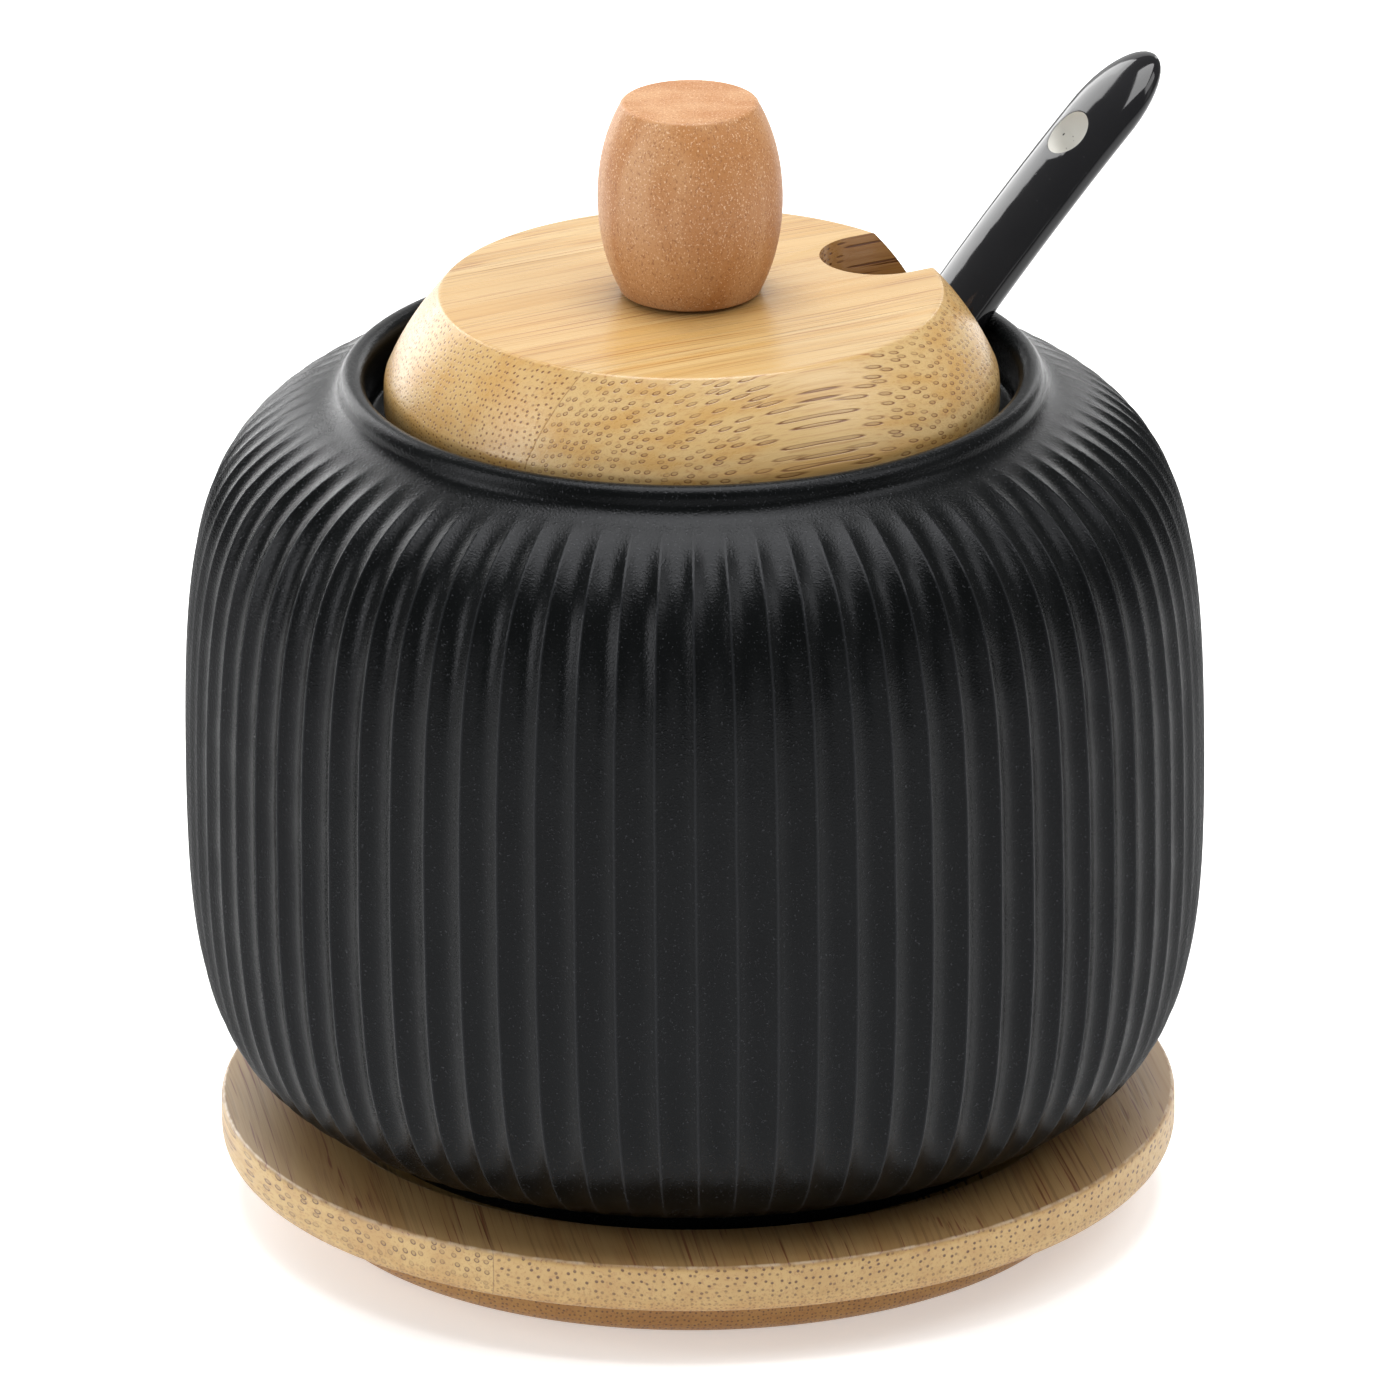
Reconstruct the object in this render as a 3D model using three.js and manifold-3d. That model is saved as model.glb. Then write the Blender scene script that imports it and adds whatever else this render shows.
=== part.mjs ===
// A fluted sugar bowl on a wooden saucer, with a notched wooden lid, a turned knob and a spoon.
// Millimetres, +Z up. The origin is the centre of the saucer's underside, where the set stands.
// The spoon leans towards SPOON_AZIMUTH, and "s" below is the distance along that direction.

import * as THREE from "three";
import { mergeVertices } from "three/addons/utils/BufferGeometryUtils.js";
import Module from "manifold-3d";

const wasm = await Module();
wasm.setup();

// ---- Driving dimensions ------------------------------------------------------------------

const GAP = 0.3; // clearance between pieces that touch
const OVERCUT = 3; // how far a cutting shape runs past the piece it cuts

const SAUCER_RADIUS = 47.1; // at the fullest place of the rim
const SAUCER_HEIGHT = 10.6;
const SAUCER_FOOT_RADIUS = 39.8;
const SAUCER_FOOT_ROUND = 3.2; // rounded lower corner of the foot
const RIM_THICKNESS = 5.2; // of the saucer's overhanging rim
const RIM_ROUND = 2.3; // rounded lower corner of the rim
const RIM_EDGE = 0.8; // softened upper corner of the rim
const COVE = 1.4; // hollow corner between the foot and the rim
const RECESS_DEPTH = 1.8; // of the round seat that holds the bowl
const RECESS_PLAY = 2.4; // between the bowl's heel and the recess wall

const BODY_RADIUS = 50; // over the crests of the flutes, at the belly
const BOWL_HEIGHT = 76.7; // foot face to lip
const BELLY_HEIGHT = 33.9; // foot face to the widest place
const FOOT_RADIUS = 34.5;
const FOOT_WIDTH = 4.5;
const FOOT_HEIGHT = 1.7;
const FOOT_RECESS = 1.2; // hollow under the bowl, inside its foot ring
const FOOT_EDGE = 0.5; // softened corners of the foot ring
const HEEL_REACH = 10.2; // how far the underside runs out before it turns up
const HEEL_RISE = 3.7;
const LOWER_FULLNESS = 0.776; // share of the height below the belly that stays near upright
const UPPER_FULLNESS = 0.71; // the same above the belly
const SHOULDER_REACH = 13.5; // how far the shoulder runs in towards the collar
const SHOULDER_FALL = 4.8;
const WALL = 4;
const FLOOR_THICKNESS = 4.1;
const FLOOR_RADIUS = 29; // flat part of the inside floor
const INSIDE_HEEL_REACH = 11; // pulls of the inside curves, as for the outside
const INSIDE_HEEL_RISE = 1.2;
const INSIDE_HEEL_HEIGHT = 5.7;
const INSIDE_FULLNESS = 0.66;
const INSIDE_SHOULDER_REACH = 10.3;
const INSIDE_SHOULDER_FALL = 0.5;
const MOUTH_RADIUS = 31.8;
const LIP_WIDTH = 2.6;
const LIP_ROUND = 1.5; // height of the rounded top of the lip
const COLLAR_HEIGHT = 2.4; // lip's top down to where the shoulder would meet the collar
const COVE_START = 0.95; // share of the shoulder's curve at which a hollow leads up to the lip
const LEDGE_DEPTH = 5.6; // lip down to the ledge that carries the lid
const LEDGE_WIDTH = 3.6;
const LEDGE_THICKNESS = 3.2;
const THROAT_ROUND = 1; // height of the softened lower corner of the throat
const THROAT_SLACK = 1.5; // width of that corner
const COLLAR_FLARE = 0.2; // the collar's foot stands this far outside the lip
const FLUTES = 80;
const FLUTE_DEPTH = 0.7;
const PLAIN_BASE = 4.8; // height above the foot over which the flutes fade in
const PLAIN_SHOULDER = 4.5; // width inside the shoulder over which they fade out

const LID_PLAY = 1.8; // between the lid's edge and the mouth
const LID_HEIGHT = 13.1;
const LID_EDGE_HEIGHT = 4.6; // underside to the lid's widest place
const LID_TOP_RADIUS = 24.5;
const LID_EDGE_ROUND = 1.1; // rounded corner of the underside
const LID_SHOULDER_ROUND = 1.3; // where the side turns into the slope
const LID_TOP_ROUND = 0.5; // where the slope turns into the top
const BEVEL_BULGE = 0.4; // how far the sloping side stands out of a straight line

const KNOB_HEIGHT = 19.3;
const KNOB_RADIUS = 9;
const KNOB_BASE_RADIUS = 7;
const KNOB_TOP_RADIUS = 6.8;
const KNOB_EDGE = 0.5; // softened corner at the base and the top
const KNOB_PULL = 0.3; // share of the height over which each end of the barrel swells

const SCREW_RADIUS = 1.9;
const SCREW_HEAD_RADIUS = 4.2;
const SCREW_HEAD_HEIGHT = 2.3;
const SCREW_BITE = 9.5; // length of the screw inside the knob
const SCREW_POINT = 2.5;
const CROSS_WIDTH = 0.9;
const CROSS_LENGTH = 4.2;
const CROSS_DEPTH = 1.2;

const SPOON_AZIMUTH = THREE.MathUtils.degToRad(29); // from +X towards +Y
const SPOON_LENGTH = 127;
const SCOOP_LENGTH = 38;
const SCOOP_HALF_WIDTH = 12;
const SCOOP_DEPTH = 7.6;
const SCOOP_WALL = 2.2;
const SCOOP_RIM = 1.1; // the hollow is this much narrower than the scoop on each side
const SCOOP_CROWN = 0.5; // rounding of the scoop's rim, upwards
const CROWN_POWER = 0.8; // below 1, the upper face is fuller than an ellipse
const SCOOP_BEND = 7; // how far the scoop's tip bends up from the handle's line
const NECK_HALF_WIDTH = 3.5;
const NECK_HALF_THICKNESS = 2.6;
const HANDLE_HALF_WIDTH = 4.8; // near the free end
const HANDLE_HALF_THICKNESS = 2.1;
const HANDLE_END_LENGTH = 8; // of the rounded free end
const HANDLE_DROOP = 3.6; // how far the free end curves down from the handle's line
const DROOP_START = 80;
const HANG_HOLE_RADIUS = 3.1;
const HANG_HOLE_INSET = 11.2; // from the free end
const SEAT_INSET = 7; // the scoop's tip rests this far outside the flat floor
const SEAT_RISE = 2.5; // height of the tip's centre above the floor
const LEDGE_CLEARANCE = 0.4; // extra room between the handle and the ledge's corner

const NOTCH_PLAY = 1.05; // each side of the handle
const NOTCH_REACH = 15.2; // from the lid's centre to the notch's inner end

// Fineness of the facets
const SMOOTH_SIDES = 40;
const LIP_SIDES = 80;
const WOOD_SIDES = 60;
const KNOB_SIDES = 36;
const SCREW_SIDES = 20;
const HOLE_SIDES = 20;
const LOWER_STEPS = 6;
const UPPER_STEPS = 7;
const COVE_STEPS = 2;
const INSIDE_STEPS = 4;
const LIP_STEPS = 4;
const SECTION_STEPS = 8; // half of the points round the spoon

// ---- Sizes that follow ---------------------------------------------------------------------

const RECESS_FLOOR = SAUCER_HEIGHT - RECESS_DEPTH;
const HEEL_RADIUS = FOOT_RADIUS + FOOT_EDGE;
const RECESS_RADIUS = HEEL_RADIUS + RECESS_PLAY;
const BOWL_Z = RECESS_FLOOR + GAP;
const SHOULDER_Z = BOWL_HEIGHT - COLLAR_HEIGHT;
const COLLAR_RADIUS = MOUTH_RADIUS + LIP_WIDTH + COLLAR_FLARE;
const LEDGE_Z = BOWL_HEIGHT - LEDGE_DEPTH;
const THROAT_RADIUS = MOUTH_RADIUS - LEDGE_WIDTH;
const FLOOR_Z = FOOT_RECESS + FLOOR_THICKNESS;
const LID_RADIUS = MOUTH_RADIUS - LID_PLAY;
const SHANK_HOLE_RADIUS = SCREW_RADIUS + GAP;
const NOTCH_HALF_WIDTH = HANDLE_HALF_WIDTH + NOTCH_PLAY;

// ---- Building blocks -------------------------------------------------------------------------

const point = (x, y) => new THREE.Vector2(x, y);
const smooth = THREE.MathUtils.smoothstep;

function finish(name, geometry, material) {
  const mesh = new THREE.Mesh(geometry, material);
  mesh.name = name;
  return mesh;
}

function lathe(profile, sides) {
  const geometry = new THREE.LatheGeometry(profile, sides);
  return geometry.rotateX(Math.PI / 2); // the axis of the turning becomes Z
}

// A corner, rounded from one point to another.
function corner(from, tip, to, steps) {
  return new THREE.QuadraticBezierCurve(from, tip, to).getPoints(steps);
}

function curve(from, pullFrom, pullTo, to, steps) {
  return new THREE.CubicBezierCurve(from, pullFrom, pullTo, to).getPoints(steps);
}

// Joins two rings of vertices, which may differ in how many they hold.
function bridge(faces, lower, upper) {
  let i = 0;
  let j = 0;
  while (i < lower.length || j < upper.length) {
    const a = lower[i % lower.length];
    const b = upper[j % upper.length];
    if (j === upper.length || (i < lower.length && (i + 1) / lower.length <= (j + 1) / upper.length)) {
      i += 1;
      faces.push(a, lower[i % lower.length], b);
    } else {
      j += 1;
      faces.push(a, upper[j % upper.length], b);
    }
  }
}

// Closes a list of rings into a solid, with a flat fan over the first and the last ring.
function loft(rings) {
  const vertices = [];
  const indexed = rings.map((ring) =>
    ring.map((p) => vertices.push(p.x, p.y, p.z) / 3 - 1),
  );
  const faces = [];
  for (let k = 0; k + 1 < indexed.length; k += 1) {
    bridge(faces, indexed[k], indexed[k + 1]);
  }
  const first = indexed[0];
  const last = indexed[indexed.length - 1];
  for (let k = 1; k + 1 < first.length; k += 1) {
    faces.push(first[0], first[k + 1], first[k]);
  }
  for (let k = 1; k + 1 < last.length; k += 1) {
    faces.push(last[0], last[k], last[k + 1]);
  }
  const geometry = new THREE.BufferGeometry();
  geometry.setAttribute("position", new THREE.Float32BufferAttribute(vertices, 3));
  geometry.setIndex(faces);
  geometry.computeVertexNormals();
  return geometry;
}

function solid(geometry) {
  const bare = geometry.clone();
  bare.deleteAttribute("normal");
  bare.deleteAttribute("uv");
  const merged = mergeVertices(bare, 1e-4);
  return new wasm.Manifold(
    new wasm.Mesh({
      numProp: 3,
      vertProperties: new Float32Array(merged.attributes.position.array),
      triVerts: new Uint32Array(merged.index.array),
    }),
  );
}

function cut(geometry, ...tools) {
  const body = tools.reduce((rest, tool) => rest.subtract(solid(tool)), solid(geometry));
  const mesh = body.getMesh();
  const result = new THREE.BufferGeometry();
  result.setAttribute("position", new THREE.BufferAttribute(new Float32Array(mesh.vertProperties), 3));
  result.setIndex(new THREE.BufferAttribute(new Uint32Array(mesh.triVerts), 1));
  result.computeVertexNormals();
  return result;
}

// ---- Saucer: one turned bamboo board ---------------------------------------------------------

function saucer() {
  const rimUnder = SAUCER_HEIGHT - RIM_THICKNESS;
  const foot = SAUCER_FOOT_RADIUS;
  const profile = [
    point(0, 0),
    ...corner(point(foot - SAUCER_FOOT_ROUND, 0), point(foot, 0), point(foot, SAUCER_FOOT_ROUND), 3),
    ...corner(point(foot, rimUnder - COVE / 2), point(foot, rimUnder), point(foot + COVE, rimUnder), 2),
    ...corner(
      point(SAUCER_RADIUS - RIM_ROUND, rimUnder),
      point(SAUCER_RADIUS, rimUnder),
      point(SAUCER_RADIUS, rimUnder + RIM_ROUND),
      3,
    ),
    point(SAUCER_RADIUS, SAUCER_HEIGHT - RIM_EDGE),
    point(SAUCER_RADIUS - RIM_EDGE / 2, SAUCER_HEIGHT),
    point(RECESS_RADIUS, SAUCER_HEIGHT),
    point(RECESS_RADIUS, RECESS_FLOOR),
    point(0, RECESS_FLOOR),
  ];
  const bamboo = new THREE.MeshStandardMaterial({ color: 0xc8a26c, roughness: 0.62, metalness: 0 });
  return finish("saucer", lathe(profile, WOOD_SIDES), bamboo);
}

// ---- Bowl: one slip-cast shell, fluted outside and smooth inside -----------------------------

// How strongly the flutes show at a place on the outer profile, from 0 to 1.
function fluteStrength(radius, z) {
  const fromBase = smooth(z, FOOT_HEIGHT, FOOT_HEIGHT + PLAIN_BASE);
  const shoulder = z > BELLY_HEIGHT ? smooth(radius, COLLAR_RADIUS, COLLAR_RADIUS + PLAIN_SHOULDER) : 1;
  return fromBase * shoulder;
}

function plainRing(radius, z, sides) {
  return Array.from({ length: sides }, (_, k) => {
    const angle = (2 * Math.PI * k) / sides;
    return new THREE.Vector3(radius * Math.cos(angle), radius * Math.sin(angle), z);
  });
}

// A crest on every even vertex and a valley on every odd one.
function flutedRing(radius, z) {
  const sides = 2 * FLUTES;
  return Array.from({ length: sides }, (_, k) => {
    const depth = k % 2 ? FLUTE_DEPTH * fluteStrength(radius, z) : 0;
    const angle = (2 * Math.PI * k) / sides;
    return new THREE.Vector3((radius - depth) * Math.cos(angle), (radius - depth) * Math.sin(angle), z);
  });
}

function footRings() {
  const inner = FOOT_RADIUS - FOOT_WIDTH;
  return [
    plainRing(inner - FOOT_EDGE, FOOT_RECESS, SMOOTH_SIDES),
    plainRing(inner, 0, SMOOTH_SIDES),
    plainRing(FOOT_RADIUS - FOOT_EDGE, 0, SMOOTH_SIDES),
    plainRing(FOOT_RADIUS, FOOT_EDGE, SMOOTH_SIDES),
  ];
}

// From the foot up to the lip. The shoulder's curve is left just before its end, and a hollow
// leads from there up into the lip.
function outsideRings() {
  const heel = point(HEEL_RADIUS, FOOT_HEIGHT);
  const belly = point(BODY_RADIUS, BELLY_HEIGHT);
  const collar = point(COLLAR_RADIUS, SHOULDER_Z);
  const lower = curve(
    heel,
    point(heel.x + HEEL_REACH, heel.y + HEEL_RISE),
    point(BODY_RADIUS, BELLY_HEIGHT - LOWER_FULLNESS * (BELLY_HEIGHT - FOOT_HEIGHT)),
    belly,
    LOWER_STEPS,
  );
  const shoulder = new THREE.CubicBezierCurve(
    belly,
    point(BODY_RADIUS, BELLY_HEIGHT + UPPER_FULLNESS * (SHOULDER_Z - BELLY_HEIGHT)),
    point(COLLAR_RADIUS + SHOULDER_REACH, SHOULDER_Z - SHOULDER_FALL),
    collar,
  );
  const upper = Array.from({ length: UPPER_STEPS }, (_, k) =>
    shoulder.getPoint((COVE_START * (k + 1)) / UPPER_STEPS),
  );
  const lipBase = point(MOUTH_RADIUS + LIP_WIDTH, BOWL_HEIGHT - LIP_ROUND);
  const cove = corner(upper[UPPER_STEPS - 1], collar, lipBase, COVE_STEPS).slice(1, -1);
  return [...lower, ...upper, ...cove].map((p) => flutedRing(p.x, p.y));
}

function lipRings() {
  const middle = MOUTH_RADIUS + LIP_WIDTH / 2;
  const base = BOWL_HEIGHT - LIP_ROUND;
  return Array.from({ length: LIP_STEPS + 1 }, (_, k) => {
    const angle = (Math.PI * k) / LIP_STEPS;
    const radius = middle + (LIP_WIDTH / 2) * Math.cos(angle);
    return plainRing(radius, base + LIP_ROUND * Math.sin(angle), LIP_SIDES);
  });
}

function insideRings() {
  const inner = BODY_RADIUS - WALL;
  const ledgeUnder = LEDGE_Z - LEDGE_THICKNESS;
  const shoulder = point(THROAT_RADIUS + THROAT_SLACK, ledgeUnder);
  const upper = curve(
    shoulder,
    point(shoulder.x + INSIDE_SHOULDER_REACH, shoulder.y - INSIDE_SHOULDER_FALL),
    point(inner, BELLY_HEIGHT + INSIDE_FULLNESS * (ledgeUnder - BELLY_HEIGHT)),
    point(inner, BELLY_HEIGHT),
    INSIDE_STEPS,
  );
  const lower = curve(
    point(inner, BELLY_HEIGHT),
    point(inner, FLOOR_Z + INSIDE_HEEL_HEIGHT),
    point(FLOOR_RADIUS + INSIDE_HEEL_REACH, FLOOR_Z + INSIDE_HEEL_RISE),
    point(FLOOR_RADIUS, FLOOR_Z),
    INSIDE_STEPS,
  );
  const throat = [
    point(MOUTH_RADIUS, LEDGE_Z),
    point(THROAT_RADIUS, LEDGE_Z),
    point(THROAT_RADIUS, ledgeUnder + THROAT_ROUND),
  ];
  return [...throat, ...upper, ...lower.slice(1)].map((p) => plainRing(p.x, p.y, SMOOTH_SIDES));
}

function bowl() {
  const rings = [...footRings(), ...outsideRings(), ...lipRings(), ...insideRings()];
  const glaze = new THREE.MeshStandardMaterial({ color: 0x2a2c2d, roughness: 0.5, metalness: 0 });
  return finish("bowl", loft(rings), glaze);
}

// ---- Spoon: glazed ceramic, lofted from scoop to handle --------------------------------------

// Half-width of the scoop's outline, which runs from the tip to the neck.
function scoopShare(u, inset) {
  const middle = SCOOP_LENGTH / 2;
  const offset = (u - middle) / (middle - inset);
  return Math.sqrt(Math.max(0, 1 - offset * offset));
}

function handleEnd(u) {
  const offset = Math.max(0, (u - (SPOON_LENGTH - HANDLE_END_LENGTH)) / HANDLE_END_LENGTH);
  return Math.sqrt(Math.max(0, 1 - offset * offset));
}

function spoonHalfWidth(u) {
  const grow = smooth(u, SCOOP_LENGTH, SPOON_LENGTH - HANDLE_END_LENGTH * 2);
  const stem = THREE.MathUtils.lerp(NECK_HALF_WIDTH, HANDLE_HALF_WIDTH, grow) * handleEnd(u);
  const scoop = SCOOP_HALF_WIDTH * scoopShare(u, 0);
  return u < SCOOP_LENGTH / 2 ? scoop : Math.hypot(scoop, stem);
}

function stemHalfThickness(u) {
  const along = smooth(u, SCOOP_LENGTH, SPOON_LENGTH);
  return THREE.MathUtils.lerp(NECK_HALF_THICKNESS, HANDLE_HALF_THICKNESS, along) * handleEnd(u);
}

function spoonUnderDepth(u) {
  const stem = stemHalfThickness(u) * smooth(u, 0, SCOOP_LENGTH);
  return Math.hypot(SCOOP_DEPTH * scoopShare(u, 0), stem);
}

// Height of the upper face's middle over the rim line: negative in the hollow of the scoop.
function spoonUpperHeight(u) {
  const stem = stemHalfThickness(u) * smooth(u, SCOOP_LENGTH * 0.8, SCOOP_LENGTH * 1.25);
  const hollow = (SCOOP_DEPTH - SCOOP_WALL + SCOOP_CROWN) * scoopShare(u, 2);
  return stem + SCOOP_CROWN * scoopShare(u, 0) - hollow;
}

// The spoon's centre line: straight through the neck, bent up at the scoop, drooping at the end.
function spoonLine(u) {
  const bend = Math.max(0, 1 - u / (SCOOP_LENGTH + 6));
  const droop = Math.max(0, (u - DROOP_START) / (SPOON_LENGTH - DROOP_START));
  return SCOOP_BEND * bend * bend - HANDLE_DROOP * droop * droop;
}

function spoonRing(u) {
  const width = spoonHalfWidth(u);
  const upperWidth = width - SCOOP_RIM * scoopShare(u, 0);
  const under = spoonUnderDepth(u);
  const over = spoonUpperHeight(u);
  const ring = [];
  for (let k = 0; k <= SECTION_STEPS; k += 1) {
    const angle = (Math.PI * k) / SECTION_STEPS;
    ring.push(new THREE.Vector3(u, width * Math.cos(angle), spoonLine(u) - under * Math.sin(angle)));
  }
  for (let k = SECTION_STEPS - 1; k > 0; k -= 1) {
    const angle = (Math.PI * k) / SECTION_STEPS;
    const rise = over * Math.sin(angle) ** CROWN_POWER;
    ring.push(new THREE.Vector3(u, upperWidth * Math.cos(angle), spoonLine(u) + rise));
  }
  return ring.reverse();
}

function spoonStations() {
  const scoopShares = [0.01, 0.05, 0.13, 0.25, 0.4, 0.55, 0.7, 0.82, 0.92, 1, 1.1];
  const scoop = scoopShares.map((share) => share * SCOOP_LENGTH);
  const stem = [0.45, 0.6, 0.74, 0.86].map((share) => share * (SPOON_LENGTH - HANDLE_END_LENGTH));
  const end = [0, 0.4, 0.7, 0.9, 0.99].map((share) => SPOON_LENGTH + (share - 1) * HANDLE_END_LENGTH);
  return [...scoop, ...stem, ...end];
}

// Where the spoon rests: its lean, and the place of its tip. The tip sits in the curve beside the
// flat floor, and the handle's back lies on the lip or, in a tall bowl, on the ledge.
function restSpoon() {
  const tip = point(-(FLOOR_RADIUS + SEAT_INSET), FLOOR_Z + SEAT_RISE);
  const corners = [
    { at: point(MOUTH_RADIUS + LIP_WIDTH / 2, BOWL_HEIGHT - LIP_ROUND), round: LIP_WIDTH / 2 },
    { at: point(THROAT_RADIUS - LEDGE_CLEARANCE, LEDGE_Z), round: 0 },
  ];
  const leans = corners.map(({ at, round }) => {
    let lean = Math.PI / 4;
    for (let step = 0; step < 12; step += 1) {
      const stand = round + GAP;
      const contact = point(at.x - stand * Math.cos(lean), at.y + stand * Math.sin(lean));
      const chord = contact.clone().sub(tip);
      const u = chord.length();
      const rise = spoonLine(u) - spoonUnderDepth(u) - spoonLine(0);
      lean = Math.atan2(chord.x, chord.y) + Math.asin(rise / u);
    }
    return lean;
  });
  return { tip, lean: Math.min(...leans) };
}

function hangHole() {
  const u = SPOON_LENGTH - HANG_HOLE_INSET;
  const length = 6 * HANDLE_HALF_THICKNESS;
  const tool = new THREE.CylinderGeometry(HANG_HOLE_RADIUS, HANG_HOLE_RADIUS, length, HOLE_SIDES);
  return tool.rotateX(Math.PI / 2).translate(u, 0, spoonLine(u));
}

function spoon() {
  const glaze = new THREE.MeshStandardMaterial({ color: 0x16171a, roughness: 0.12, metalness: 0 });
  const body = cut(loft(spoonStations().map(spoonRing)), hangHole());
  const mesh = finish("spoon", body, glaze);
  const { tip, lean } = restSpoon();
  const turn = new THREE.Group(); // its local X runs along the handle, and its Z out of the scoop
  mesh.position.z = -spoonLine(0);
  turn.rotation.y = lean - Math.PI / 2;
  turn.position.set(tip.x, 0, tip.y);
  turn.add(mesh);
  const place = new THREE.Group();
  place.rotation.z = SPOON_AZIMUTH;
  place.add(turn);
  return place;
}

// ---- Lid: one turned bamboo board, with a notch for the spoon --------------------------------

function notchTool() {
  const outline = new THREE.Shape();
  const end = NOTCH_REACH + NOTCH_HALF_WIDTH;
  outline.moveTo(LID_RADIUS + OVERCUT, NOTCH_HALF_WIDTH);
  outline.lineTo(end, NOTCH_HALF_WIDTH);
  outline.absarc(end, 0, NOTCH_HALF_WIDTH, Math.PI / 2, 1.5 * Math.PI, false);
  outline.lineTo(LID_RADIUS + OVERCUT, -NOTCH_HALF_WIDTH);
  const options = { depth: LID_HEIGHT + 2 * OVERCUT, bevelEnabled: false, curveSegments: 8 };
  const tool = new THREE.ExtrudeGeometry(outline, options);
  return tool.translate(0, 0, -OVERCUT).rotateZ(SPOON_AZIMUTH);
}

function lid() {
  const top = point(LID_TOP_RADIUS, LID_HEIGHT);
  const edge = point(LID_RADIUS, LID_EDGE_HEIGHT);
  const slope = top.clone().sub(edge);
  const outward = point(slope.y, -slope.x).normalize();
  const slopeMiddle = edge.clone().addScaledVector(slope, 0.5).addScaledVector(outward, BEVEL_BULGE);
  const slopeStart = edge.clone().lerp(slopeMiddle, LID_SHOULDER_ROUND / slope.length());
  const slopeEnd = top.clone().lerp(slopeMiddle, LID_TOP_ROUND / slope.length());
  const countersink = SCREW_HEAD_RADIUS + 2 * GAP;
  const profile = [
    point(SHANK_HOLE_RADIUS, SCREW_HEAD_HEIGHT),
    point(countersink, 0),
    ...corner(
      point(LID_RADIUS - LID_EDGE_ROUND, 0),
      point(LID_RADIUS, 0),
      point(LID_RADIUS, LID_EDGE_ROUND * 2),
      2,
    ),
    ...corner(point(LID_RADIUS, LID_EDGE_HEIGHT - LID_SHOULDER_ROUND), edge, slopeStart, 2),
    slopeMiddle,
    ...corner(slopeEnd, top, point(LID_TOP_RADIUS - LID_TOP_ROUND, LID_HEIGHT), 1),
    point(SHANK_HOLE_RADIUS, LID_HEIGHT),
    point(SHANK_HOLE_RADIUS, SCREW_HEAD_HEIGHT),
  ];
  const bamboo = new THREE.MeshStandardMaterial({ color: 0xdcb27c, roughness: 0.55, metalness: 0 });
  return finish("lid", cut(lathe(profile, WOOD_SIDES), notchTool()), bamboo);
}

// ---- Knob: a turned barrel with a blind hole for its screw -----------------------------------

function knob() {
  const barrel = curve(
    point(KNOB_BASE_RADIUS, KNOB_EDGE),
    point(KNOB_BASE_RADIUS + (4 / 3) * (KNOB_RADIUS - KNOB_BASE_RADIUS), KNOB_HEIGHT * KNOB_PULL),
    point(KNOB_TOP_RADIUS + (4 / 3) * (KNOB_RADIUS - KNOB_TOP_RADIUS), KNOB_HEIGHT * (1 - KNOB_PULL)),
    point(KNOB_TOP_RADIUS, KNOB_HEIGHT - KNOB_EDGE),
    6,
  );
  const holeDepth = SCREW_BITE + 1;
  const profile = [
    point(0, holeDepth),
    point(SHANK_HOLE_RADIUS, holeDepth),
    point(SHANK_HOLE_RADIUS, 0),
    point(KNOB_BASE_RADIUS - KNOB_EDGE, 0),
    ...barrel,
    point(KNOB_TOP_RADIUS - KNOB_EDGE, KNOB_HEIGHT),
    point(0, KNOB_HEIGHT),
  ];
  const beech = new THREE.MeshStandardMaterial({ color: 0xc98f66, roughness: 0.6, metalness: 0 });
  const mesh = finish("knob", lathe(profile, KNOB_SIDES), beech);
  mesh.position.z = LID_HEIGHT + GAP;
  return mesh;
}

// ---- Knob screw: countersunk, driven up through the lid --------------------------------------

function crossTools() {
  const bars = [
    new THREE.BoxGeometry(CROSS_LENGTH, CROSS_WIDTH, 2 * CROSS_DEPTH),
    new THREE.BoxGeometry(CROSS_WIDTH, CROSS_LENGTH, 2 * CROSS_DEPTH),
  ];
  return bars.map((bar) => bar.translate(0, 0, GAP / 3));
}

function knobScrew() {
  const tip = LID_HEIGHT + GAP + SCREW_BITE;
  const profile = [
    point(0, GAP / 3),
    point(SCREW_HEAD_RADIUS, GAP / 3),
    point(SCREW_RADIUS, SCREW_HEAD_HEIGHT),
    point(SCREW_RADIUS, tip - SCREW_POINT),
    point(0, tip),
  ];
  const steel = new THREE.MeshStandardMaterial({ color: 0xb9bbbd, roughness: 0.35, metalness: 1 });
  return finish("knob_screw", cut(lathe(profile, SCREW_SIDES), ...crossTools()), steel);
}

// ---- Assembly --------------------------------------------------------------------------------

const lidSet = new THREE.Group();
lidSet.position.z = LEDGE_Z + GAP;
lidSet.add(lid(), knob(), knobScrew());

const bowlSet = new THREE.Group();
bowlSet.position.z = BOWL_Z;
bowlSet.add(bowl(), lidSet, spoon());

const sugarBowl = new THREE.Group();
sugarBowl.add(saucer(), bowlSet);

export default sugarBowl;
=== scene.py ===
# %% [markdown]
# # A fluted sugar bowl with a bamboo saucer, a notched lid, a turned knob and a spoon
#
# The set stands on a pale table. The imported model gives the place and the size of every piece, in
# metres. This lesson models each piece again with finer curves, gives it its finish, and lets it
# ride on the body that carries it.

# %% Load the frame
import math

import bmesh
import bpy
from mathutils import Euler, Matrix, Vector, noise
from mathutils.geometry import interpolate_bezier


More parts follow.
